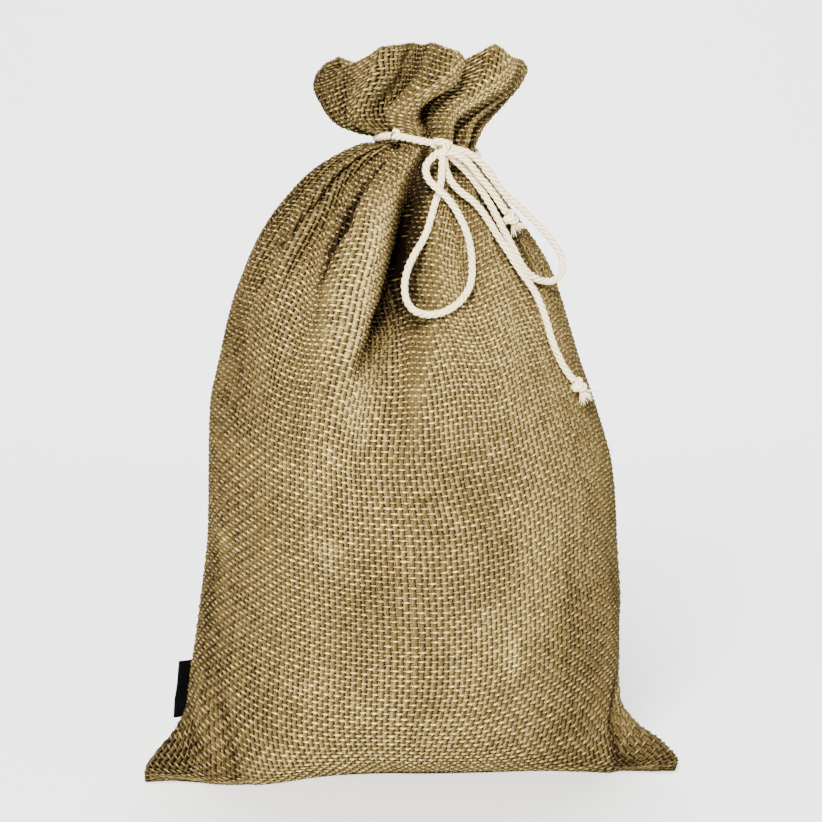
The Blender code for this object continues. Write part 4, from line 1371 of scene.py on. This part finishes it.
        # How much painted shade the gaps get: some everywhere, more towards the neck, in the deep folds, in
        # its patches and low at the foot
        layer = grid.verts.layers.float.new("painted_gap_shade")
        opened = self.neck_gap_shade * smoothstep(*NECK_GAP_SHADE_RISES, run) + self.least_gap_shade
        opened += self.depth_shade(cloth, run)
        opened += patches(GAP_SHADE_PATCHES, cloth, run) + self.foot_gap_shade * hump(run - FOOT_GAP_SHADE_AT[0], FOOT_GAP_SHADE_AT[1])
        weave = grid.verts.layers.float_vector.new("weave")
        counts = np.stack([cloth / self.warp_pitch, run / self.weft_pitch, np.zeros_like(run)], axis=-1)
        for vertex, point, share, count in zip(grid.verts, points, np.clip(opened, 0, 1), counts):
            vertex.co = Vector(point) * MM
            vertex[layer] = share
            vertex[weave] = count
        bmesh.ops.remove_doubles(grid, verts=grid.verts[:], dist=0.02 * MM)
        bmesh.ops.recalc_face_normals(grid, faces=grid.faces[:])
        return add_piece("pouch_sheet", mesh_from(grid, "pouch_sheet"), JUTE_SHADE.build())

    def build(self) -> list[bpy.types.Object]:
        """Makes the sheet and its threads.

        Returns:
            The pieces.
        """
        sheet = self.shade_sheet()
        threads = [self.bundle(side, number) for side in Side for number in range(self.bundles)]
        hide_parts("pouch")
        return [sheet, *threads]


# The cord's way, in millimetres. The ring has a middle and two radii in plan, the ways out of the knot to its
# ends, and rows of bearing and height.
# In a loop or a tail, the first row is the way out of the knot, and a loop's last row is its way back in.
RING_MIDDLE = (6.0, -0.45)
RING_RADII = (19.0, 20.7)
RING_ENDS = ((0.5, 0.6, -0.1), (-0.6, 0.5, 0.2))
RING = (
    (28, 231.2), (45, 230.2), (70, 229.6), (95, 230.4), (120, 232.6), (150, 235.0), (180, 236.2),
    (210, 236.4), (240, 236.3), (270, 236.5), (292, 237.0), (315, 237.5), (335, 237.0), (350, 236.0),
    (363, 235.2),
)  # fmt: skip
KNOT = (11.8, -24.0, 232.8)
KNOT_RADII = (4.4, 3.9, 4.9)
LOOP_LEFT = (
    (-0.74, -0.5, -0.46),
    (5.4, -28.6, 226.0), (6.2, -30.2, 222.4), (8.7, -31.5, 219.4),
    (11.7, -31.7, 216.8), (14.6, -31.4, 213.6), (18.1, -30.6, 207.8), (20.8, -31.6, 201.2),
    (22.3, -34.4, 191.0), (21.8, -36.8, 184.8), (18.9, -39.4, 179.2), (14.0, -41.0, 175.2),
    (7.0, -41.0, 173.2), (0.6, -39.0, 175.0), (-2.2, -36.0, 180.5), (-1.6, -33.4, 187.8),
    (1.4, -31.4, 194.8), (5.2, -30.0, 201.4), (7.6, -29.2, 208.8), (9.5, -27.9, 215.2),
    (10.8, -27.2, 219.8), (11.3, -27.0, 224.0),
    (-0.1, -0.42, -0.9),
)  # fmt: skip
LOOP_RIGHT = (
    (0.93, 0.02, 0.12),
    (20.6, -23.6, 231.6), (25.2, -22.4, 228.3), (28.9, -20.8, 224.4), (33.5, -18.0, 217.6),
    (37.8, -16.3, 213.6), (42.4, -14.8, 209.4), (48.2, -13.2, 203.6), (53.4, -12.0, 197.4),
    (56.4, -11.6, 191.4), (56.2, -12.8, 187.0), (53.8, -15.6, 184.4), (49.0, -18.6, 184.0),
    (45.6, -20.8, 185.4), (42.0, -22.4, 188.6), (38.2, -22.4, 195.4), (34.2, -21.4, 203.0),
    (30.2, -20.2, 210.6), (26.0, -18.8, 217.4), (21.6, -19.2, 223.2),
    (0.66, 0.42, -0.62),
)  # fmt: skip
TAIL_FRONT = (
    (0.12, 0.14, -0.98),
    (13.2, -23.2, 224.2), (15.4, -25.2, 220.2), (18.6, -25.2, 217.0), (21.9, -24.9, 214.5),
    (25.2, -24.2, 211.2), (28.6, -24.9, 206.4), (32.0, -26.0, 200.9), (35.7, -27.0, 195.4),
    (39.2, -27.2, 189.8), (43.2, -26.6, 184.2), (46.5, -25.6, 178.8), (48.8, -25.0, 173.2),
    (50.6, -25.0, 167.7), (52.2, -25.3, 162.2), (54.4, -25.6, 156.8), (57.2, -25.4, 151.6),
    (60.4, -25.0, 147.4),
)  # fmt: skip
TAIL_BACK = (
    (0.88, -0.42, -0.25),
    (20.6, -25.0, 228.4), (25.0, -22.8, 223.0), (29.4, -20.9, 217.9), (33.0, -19.6, 212.7),
    (35.4, -19.1, 209.2),
)  # fmt: skip


# How many steps a millimetre a route is measured in
FINE_STEPS = 20


def smooth_route(points: list[Point], spacing: float) -> np.ndarray:
    """Even points along a natural cubic curve through a route.

    Args:
        points: The route, in millimetres.
        spacing: How far apart the points are.

    Returns:
        The points, with both ends.
    """
    points = np.asarray(points, float)
    knots = length_along(points)
    step = np.diff(knots)
    count = len(points)
    matrix, right = np.eye(count), np.zeros((count, 3))
    for i in range(1, count - 1):
        matrix[i, i - 1 : i + 2] = step[i - 1], 2 * (step[i - 1] + step[i]), step[i]
        ahead, behind = (points[i + 1] - points[i]) / step[i], (points[i] - points[i - 1]) / step[i - 1]
        right[i] = 6 * (ahead - behind)
    bend = np.linalg.solve(matrix, right)
    fine = np.linspace(0.0, knots[-1], int(knots[-1] * FINE_STEPS))
    i = np.clip(np.searchsorted(knots, fine, side="right") - 1, 0, count - 2)
    a, b, h = (knots[i + 1] - fine)[:, None], (fine - knots[i])[:, None], step[i][:, None]
    curve = (
        (bend[i] * a**3 + bend[i + 1] * b**3) / (6 * h)
        + (points[i] / h - bend[i] * h / 6) * a
        + (points[i + 1] / h - bend[i + 1] * h / 6) * b
    )
    along = length_along(curve)
    even = np.linspace(0.0, along[-1], max(3, round(along[-1] / spacing) + 1))
    return np.stack([np.interp(even, along, curve[:, k]) for k in range(3)], axis=-1)


def frames_along(path: np.ndarray) -> tuple[np.ndarray, np.ndarray]:
    """Two directions across a path at each of its points, which don't turn about it.

    Args:
        path: The path's points.

    Returns:
        The two directions at each point.
    """
    tangents = unit(np.gradient(path, axis=0))
    side = np.cross(tangents[0], (0.3, 0.5, 0.8))
    sides = []
    for tangent in tangents:
        side = side - tangent * np.dot(side, tangent)
        side = side / np.linalg.norm(side)
        sides.append(side)
    sides = np.array(sides)
    return sides, np.cross(tangents, sides)


@dataclass
class TwistedCord:
    """A length of three-strand cotton cord laid along a path."""

    name: str
    path: np.ndarray
    radius: float = 1.42
    strands: int = 3
    lay: float = 7.2
    corners: int = 9
    squash: float = 1.08
    strand_lean: float = 0.8
    fibre_twist: float = 1.4
    tone: float = 0.30
    strand_light_and_groove_shade: float = 0.42

    @property
    def length(self) -> float:
        """The path's length, in millimetres."""
        return float(np.linalg.norm(np.diff(self.path, axis=0), axis=1).sum())

    def build(self) -> bpy.types.Object:
        """Twists the strands round the path.

        Returns:
            The cord's piece.
        """
        rings = len(self.path)
        tubes = TubeSet(self.name, self.strands, rings, self.corners)
        sides, others = frames_along(self.path)
        tangents = unit(np.gradient(self.path, axis=0))
        step = length_along(self.path)[tubes.ring]
        strand_radius = self.radius / (1 + 2 / math.sqrt(3))
        off = self.radius - strand_radius
        ring, tube = tubes.ring, tubes.tube
        swing = -2 * math.pi * (step / self.lay + tube / self.strands)
        outward = sides[ring] * np.cos(swing)[:, None] + others[ring] * np.sin(swing)[:, None]
        beside = np.cross(tangents[ring], outward)
        lean = 2 * math.pi * off / self.lay
        cross = unit(beside + tangents[ring] * lean * self.strand_lean)
        wobble = 1 + 0.05 * np.sin(step * 1.9 + tube * 2.1) + 0.03 * np.sin(step * 4.3 + tube)
        points = (
            self.path[ring]
            + outward * (off + strand_radius * wobble * np.cos(tubes.bearing))[:, None]
            + cross * (strand_radius * self.squash * wobble * np.sin(tubes.bearing))[:, None]
        )
        # Painted highlight on each strand's crown and painted shade in the grooves, over a slight random
        # waver
        tone = self.tone + 0.05 * np.sin(step * 0.8 + tube * 2.4) + self.strand_light_and_groove_shade * np.cos(tubes.bearing)
        return tubes.finish(points, step, self.fibre_twist, tone, COTTON)


@dataclass
class FrayedTuft:
    """The soft frayed ends of a cord, spread out of its end knot."""

    name: str
    root: np.ndarray
    way: np.ndarray
    locks: int = 46
    length: float = 5.4
    spread: float = 0.62
    root_spread: float = 0.35
    root_radius: float = 0.55
    curl: float = 0.35
    thick: float = 0.17
    rings: int = 7
    corners: int = 4
    seed: int = 5

    def build(self) -> bpy.types.Object:
        """Grows the locks out of the root.

        Returns:
            The tuft's piece.
        """
        tubes = TubeSet(self.name, self.locks, self.rings, self.corners)
        rng = np.random.default_rng(self.seed)
        way = self.way / np.linalg.norm(self.way)
        side = unit(np.cross(way, (0.2, 0.9, 0.3)))
        other = np.cross(way, side)
        turn = rng.uniform(0, 2 * math.pi, self.locks)
        lean = self.spread * np.sqrt(rng.uniform(0.02, 1.0, self.locks))
        length = self.length * rng.uniform(0.62, 1.08, self.locks)
        curl = rng.uniform(-self.curl, self.curl, (self.locks, 2))
        share = tubes.ring / (self.rings - 1)
        lock = tubes.tube
        spread_way = side * np.cos(turn[lock])[:, None] + other * np.sin(turn[lock])[:, None]
        bend = (side * curl[lock, 0:1] + other * curl[lock, 1:2]) * (share**2)[:, None]
        flare = (self.root_spread + lean[lock])[:, None]
        out = flare * spread_way * (self.root_radius + share * length[lock])[:, None]
        centre = self.root + way * (share * length[lock])[:, None] + out * 0.75 + bend * 2.2
        fat = self.thick * (1.15 - 0.75 * share**2) * rng.uniform(0.7, 1.25, self.locks)[lock]
        section = side * np.cos(tubes.bearing)[:, None] + other * np.sin(tubes.bearing)[:, None]
        tone = 0.58 + 0.12 * rng.normal(0, 1, self.locks)[lock] - 0.15 * (1 - share)
        return tubes.finish(centre + section * fat[:, None], share * self.length, 0.6, tone, COTTON)


@dataclass
class CordBow:
    """The cord round the neck, its bow's knot and loops, and its two tails with their end knots."""

    ring_spacing: float = 0.6
    knot_clear: float = -1.6
    ring_clear: float = -1.5
    end_knot_radius: float = 2.7
    wrap_radius: float = 1.9
    wrap_overrun: float = 0.35
    wrap_points: int = 40
    ring_points: int = 40
    thick: float = 0.003

    def knot_point(self, way: Point, clear: float) -> Point:
        """A point on the way out of the bow's knot.

        Args:
            way: The direction from the knot's middle.
            clear: How far outside the knot's surface it is, under 0 inside.

        Returns:
            The point, in millimetres.
        """
        direction = Vector(way).normalized()
        reach = 1 / math.sqrt(sum((direction[k] / KNOT_RADII[k]) ** 2 for k in range(3)))
        return tuple(Vector(KNOT) + direction * (reach + clear))

    def ring_route(self) -> list[Point]:
        """The cord's way round the neck, from the knot and back to it."""
        bearings = np.linspace(RING[0][0], RING[-1][0], self.ring_points)
        height = curve_through(*zip(*RING), bearings)
        turn = np.radians(bearings)
        x = RING_MIDDLE[0] + RING_RADII[0] * np.sin(turn)
        y = RING_MIDDLE[1] - RING_RADII[1] * np.cos(turn)
        ends = [self.knot_point(way, self.ring_clear) for way in RING_ENDS]
        return [ends[0], *zip(x, y, height), ends[1]]

    def routes(self) -> dict[str, list[Point]]:
        """Each cord's route, from the knot."""
        clear = self.knot_clear
        found = {"neck_cord": self.ring_route()}
        for name, loop in (("loop_left", LOOP_LEFT), ("loop_right", LOOP_RIGHT)):
            found[name] = [self.knot_point(loop[0], clear), *loop[1:-1], self.knot_point(loop[-1], clear)]
        for name, tail in (("tail_front", TAIL_FRONT), ("tail_back", TAIL_BACK)):
            found[name] = [self.knot_point(tail[0], clear), *tail[1:]]
        return found

    def wrap(
        self, name: str, middle: Point, axis: Point, radii: tuple[float, float], rise: float
    ) -> bpy.types.Object:
        """One turn of cord about a knot.

        Args:
            name: The piece's name.
            middle: The turn's middle.
            axis: The direction that it goes round.
            radii: Its two radii.
            rise: How far it climbs along the axis in its turn.

        Returns:
            The turn's piece.
        """
        way = np.array(Vector(axis).normalized())
        side = unit(np.cross(way, (0.31, -0.8, 0.5)))
        other = np.cross(way, side)
        turn = np.linspace(-self.wrap_overrun, 2 * math.pi + self.wrap_overrun, self.wrap_points)[:, None]
        path = (
            np.array(middle)
            + side * radii[0] * np.cos(turn)
            + other * radii[1] * np.sin(turn)
            + way * rise * (turn / math.pi - 1) / 2
        )
        return TwistedCord(name, path, corners=8).build()

    def bow_knot(self) -> list[bpy.types.Object]:
        """The bow's knot: two turns round its strands and one down over them.

        Returns:
            Its pieces.
        """
        x, y, z = KNOT
        wraps = (
            ("knot_upper_turn", (x - 0.2, y + 0.1, z + 2.1), (0.25, 0.15, 0.95), (2.5, 2.3), 0.6),
            ("knot_lower_turn", (x + 0.5, y + 0.1, z - 1.6), (-0.25, 0.2, 0.95), (2.4, 2.2), -0.5),
            ("knot_front_turn", (x + 0.2, y - 0.3, z + 0.2), (0.92, 0.1, -0.3), (2.0, 3.0), 0.9),
        )
        made = [self.wrap(*wrap) for wrap in wraps]
        for piece in made:
            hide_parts("bow_knot")
        return made

    def end_knot(self, name: str, path: np.ndarray, node: str, seed: int) -> list[bpy.types.Object]:
        """A tail's overhand knot with its frayed tuft.

        Args:
            name: What its pieces' names start with.
            path: The tail's path.
            node: The solid that they replace.
            seed: Sets its tuft apart from the other's.

        Returns:
            Its pieces.
        """
        onward = unit(path[-1] - path[-4])
        middle = path[-1] + onward * (self.end_knot_radius * 0.85)
        aside = np.cross(onward, (0.1, 0.9, 0.2))
        tilted, leaning = unit(onward + aside * 0.45), unit(onward - aside * 0.75)
        long, short = self.wrap_radius * 0.9, self.wrap_radius * 0.8
        made = [
            self.wrap(f"{name}_first_turn", middle - onward * 0.7, tilted, (long, short), 0.5),
            self.wrap(f"{name}_second_turn", middle + onward * 0.8, leaning, (short, long), -0.5),
            FrayedTuft(f"{name}_tuft", middle + onward * 1.4, onward, seed=seed).build(),
        ]
        for piece in made:
            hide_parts(node)
        return made

    def build(self) -> list[bpy.types.Object]:
        """Makes the cords and the knots.

        Returns:
            The pieces.
        """
        knots = self.bow_knot()
        made = list(knots)
        for name, route in self.routes().items():
            path = smooth_route(route, self.ring_spacing)
            cord = TwistedCord(f"{name}_strands", path)
            piece = cord.build()
            carried = []
            if name.startswith("tail"):
                place = name.removeprefix("tail_")
                carried = self.end_knot(f"end_{place}", path, f"end_knot_{place}", 5 + len(place))
            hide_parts(name)
            made += [piece, *carried]
        return made


@dataclass
class SideLabel:
    """The loop label: a bare folded ribbon sewn into the left seam."""

    low: float = 31.2
    high: float = 51.5
    reach: float = 5.3
    root: float = -1.6
    held: float = 38.0
    fold: float = 0.42
    thick: float = 0.28
    ripple: float = 0.22
    ripple_length: float = 3.1
    columns: int = 28
    rows: int = 18
    way: Point = (-0.8, -0.6, 0.0)

    def build(self) -> bpy.types.Object:
        """Folds the ribbon and sets it in the seam.

        Returns:
            The label's piece.
        """
        ribbon = bmesh.new()
        bmesh.ops.create_grid(ribbon, x_segments=self.columns, y_segments=self.rows, size=1.0)
        shares = np.array([vertex.co[:2] for vertex in ribbon.verts])
        map_layer = ribbon.loops.layers.uv.new("ribbon")
        straight = self.reach - self.fold - self.root
        whole = 2 * straight + math.pi * self.fold
        along = (shares[:, 0] + 1) / 2 * whole
        up = self.low + (shares[:, 1] + 1) / 2 * (self.high - self.low)
        turn = np.clip((along - straight) / self.fold, 0.0, math.pi)
        back = np.maximum(along - straight - math.pi * self.fold, 0.0)
        out = self.root + np.minimum(along, straight) + self.fold * np.sin(turn) - back
        aside = -self.fold * np.cos(turn)
        root = CLOTH.outside(np.zeros_like(up), up)
        root[:, 0] = CLOTH.outside(np.zeros_like(up), np.maximum(up, self.held))[:, 0]
        way = np.array(self.way) / np.linalg.norm(self.way)
        across = np.array((-way[1], way[0], 0.0))
        wave = self.ripple * np.sin(up / self.ripple_length) * (out / self.reach) ** 2
        points = root + way * out[:, None] + across * (aside + wave)[:, None]
        for vertex, point in zip(ribbon.verts, points):
            vertex.co = Vector(point) * MM
        for face in ribbon.faces:
            for loop in face.loops:
                spot = loop.vert.index
                loop[map_layer].uv = (along[spot], up[spot])
        bmesh.ops.recalc_face_normals(ribbon, faces=ribbon.faces[:])
        mesh = mesh_from(ribbon, "side_label_ribbon")
        piece = add_piece("side_label_ribbon", mesh, BLACK_RIBBON.build())
        wall = piece.modifiers.new("ribbon_thickness", "SOLIDIFY")
        wall.thickness = self.thick * MM
        wall.offset = 0.0
        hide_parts("side_label")
        return piece


@dataclass
class ThreadTack:
    """The sewing thread that holds the cord at the neck, with the cord's small nub above it."""

    bearing: float = 317.0
    thread: float = 0.2
    clear: float = 1.62
    turns: float = 1.9
    slant: float = 0.9
    sway: float = 0.5
    tone: float = 0.2
    nub: float = 0.85
    nub_root: float = 0.5
    nub_rise: float = 1.9
    nub_half_length: float = 1.1
    nub_aside: float = 0.9
    nub_tone: float = 0.5

    def place(self, ring: CordBow) -> tuple[np.ndarray, np.ndarray, np.ndarray]:
        """The cord's middle at the tack, and the ways out of the neck and along the cord.

        Args:
            ring: The cord that it holds.

        Returns:
            The point and the two ways.
        """
        route = np.array(ring.ring_route()[1:-1])
        turn = math.radians(self.bearing)
        x = RING_MIDDLE[0] + RING_RADII[0] * math.sin(turn)
        y = RING_MIDDLE[1] - RING_RADII[1] * math.cos(turn)
        nearest = int(np.argmin(np.hypot(route[:, 0] - x, route[:, 1] - y)))
        along = unit(route[nearest + 1] - route[nearest - 1])
        outward = unit(np.array((math.sin(turn), -math.cos(turn), 0.0)))
        return route[nearest], outward, along

    def build(self) -> list[bpy.types.Object]:
        """Winds the thread round the cord and sets the nub.

        Returns:
            The pieces.
        """
        centre, outward, along = self.place(CordBow())
        tubes = TubeSet("tack_thread_turns", 1, 60, 6)
        upward = np.cross(outward, along)
        share = tubes.ring / (tubes.rings - 1)
        turn = share * self.turns * 2 * math.pi
        radial = outward * np.cos(turn)[:, None] + upward * np.sin(turn)[:, None]
        lean = along * ((share - 0.5) * self.slant + self.sway * np.sin(turn))[:, None]
        reach = self.clear + self.thread * np.cos(tubes.bearing)
        aside = along * (self.thread * np.sin(tubes.bearing))[:, None]
        points = centre + radial * reach[:, None] + lean + aside
        thread = tubes.finish(points, share * 20, 3.0, np.full(len(share), self.tone), SEWING_THREAD)
        nub = TubeSet("cord_nub", 1, 14, 9)
        share = nub.ring / (nub.rings - 1)
        turn = share * math.pi
        rise = self.nub_root + self.nub_rise * np.sin(turn)
        run = self.nub_half_length * np.cos(turn) + self.nub_aside
        path = centre + upward * rise[:, None] + along * run[:, None]
        radial = upward * np.sin(turn)[:, None] + along * np.cos(turn)[:, None]
        points = path + radial * (self.nub * np.cos(nub.bearing))[:, None]
        points = points + outward * (self.nub * np.sin(nub.bearing))[:, None]
        cotton = nub.finish(points, share * 5, 1.0, np.full(len(share), self.nub_tone), COTTON)
        for piece in (thread, cotton):
            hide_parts("thread_tack")
        return [thread, cotton]


LIGHT_COLUMNS = ("name", "place", "size", "power", "warmth", "at")
LIGHTS = (
    ("key_light", (-0.25, -1.48, 1.05), 0.4, 108.0, (1.0, 0.98, 0.93), (0.0, 0.0, 0.14)),
    ("fill_light", (1.3, -1.1, 0.5), 0.9, 3.0, (0.95, 0.97, 1.0), (0.0, 0.0, 0.14)),
    ("backdrop_light", (0.0, 1.5, 2.4), 1.2, 150.0, (1.0, 1.0, 1.0), (0.0, 1.9, 0.0)),
)


@dataclass
class Studio:
    """A pale sweep, soft lights and the camera at the photo's angle."""

    distance: float = 1.1
    elevation: float = 6.0
    aim_height: float = 0.14
    focal_pixels: float = 2904.0
    image_pixels: float = 822.0
    centre_row: float = 393.7
    sensor: float = 36.0
    floor_pale: float = 0.93
    air: float = 0.42
    curve_start: float = 1.2
    curve_radius: float = 0.8

    def camera(self) -> bpy.types.Object:
        """The camera, in front of the pouch and a little above it."""
        data = bpy.data.cameras.new("photo_camera")
        data.sensor_width = self.sensor
        data.lens = self.sensor * self.focal_pixels / self.image_pixels
        data.shift_y = -(self.image_pixels / 2 - self.centre_row) / self.image_pixels
        camera = put("photo_camera", data)
        lift = math.radians(self.elevation)
        back, rise = self.distance * math.cos(lift), self.distance * math.sin(lift)
        camera.location = (0.0, -back, self.aim_height + rise)
        camera.rotation_euler = (math.pi / 2 - lift, 0.0, 0.0)
        bpy.context.scene.camera = camera
        return camera

    def sweep(self) -> bpy.types.Object:
        """The floor, which curves up into the backdrop far behind the pouch."""
        grid = bmesh.new()
        bmesh.ops.create_grid(grid, x_segments=24, y_segments=48, size=4.0)
        radius = self.curve_radius
        for vertex in grid.verts:
            beyond = max(0.0, vertex.co.y - self.curve_start)
            turn = min(beyond / radius, math.pi / 2)
            rise = max(0.0, beyond - radius * math.pi / 2)
            if beyond > 0:
                vertex.co.y = self.curve_start + radius * math.sin(turn)
                vertex.co.z = radius * (1 - math.cos(turn)) + rise
        mesh = mesh_from(grid, "studio_sweep")
        mesh.shade_smooth()
        material = bpy.data.materials.new("studio_paper")
        material.use_nodes = True
        shader = material.node_tree.nodes["Principled BSDF"]
        shader.inputs["Base Color"].default_value = (self.floor_pale,) * 3 + (1.0,)
        shader.inputs["Roughness"].default_value = 0.9
        shader.inputs["Specular IOR Level"].default_value = 0.1
        mesh.materials.append(material)
        sweep = put("studio_sweep", mesh)
        return sweep

    def softbox(self, name: str, place: Point, size: float, power: float, warmth: Color, at: Point) -> None:
        """A square area light.

        Args:
            name: The light's name.
            place: Where it stands, in metres.
            size: Its side, in metres.
            power: Its power in watts.
            warmth: Its colour.
            at: The point that it shines at.
        """
        data = bpy.data.lights.new(name, "AREA")
        data.shape = "SQUARE"
        data.size = size
        data.energy = power
        data.color = warmth
        light = put(name, data)
        light.location = place
        aim = Vector(at) - Vector(place)
        light.rotation_euler = aim.to_track_quat("-Z", "Y").to_euler()

    def build(self) -> None:
        """Sets up the stage, the lights and the camera."""
        self.sweep()
        for row in LIGHTS:
            self.softbox(**dict(zip(LIGHT_COLUMNS, row)))
        world = bpy.data.worlds.new("studio_air")
        world.use_nodes = True
        background = world.node_tree.nodes["Background"]
        background.inputs["Color"].default_value = (1.0, 1.0, 1.0, 1.0)
        background.inputs["Strength"].default_value = self.air
        bpy.context.scene.world = world
        self.camera()


def main() -> None:
    """Builds the pouch's looks, piece by piece, and reports each."""
    Studio().build()
    groups = {
        "cord bow": CordBow().build(),
        "woven pouch": WovenPouch().build(),
        "side label": [SideLabel().build()],
        "thread tack": ThreadTack().build(),
    }
    total = 0
    for group, pieces in groups.items():
        for piece in pieces:
            faces = sum(len(face.vertices) - 2 for face in piece.data.polygons)
            total += faces
            REPORT.info("%s: %s, %d triangles", group, piece.name, faces)
    REPORT.info("all pieces: %d triangles", total)


if __name__ == "__main__":
    main()
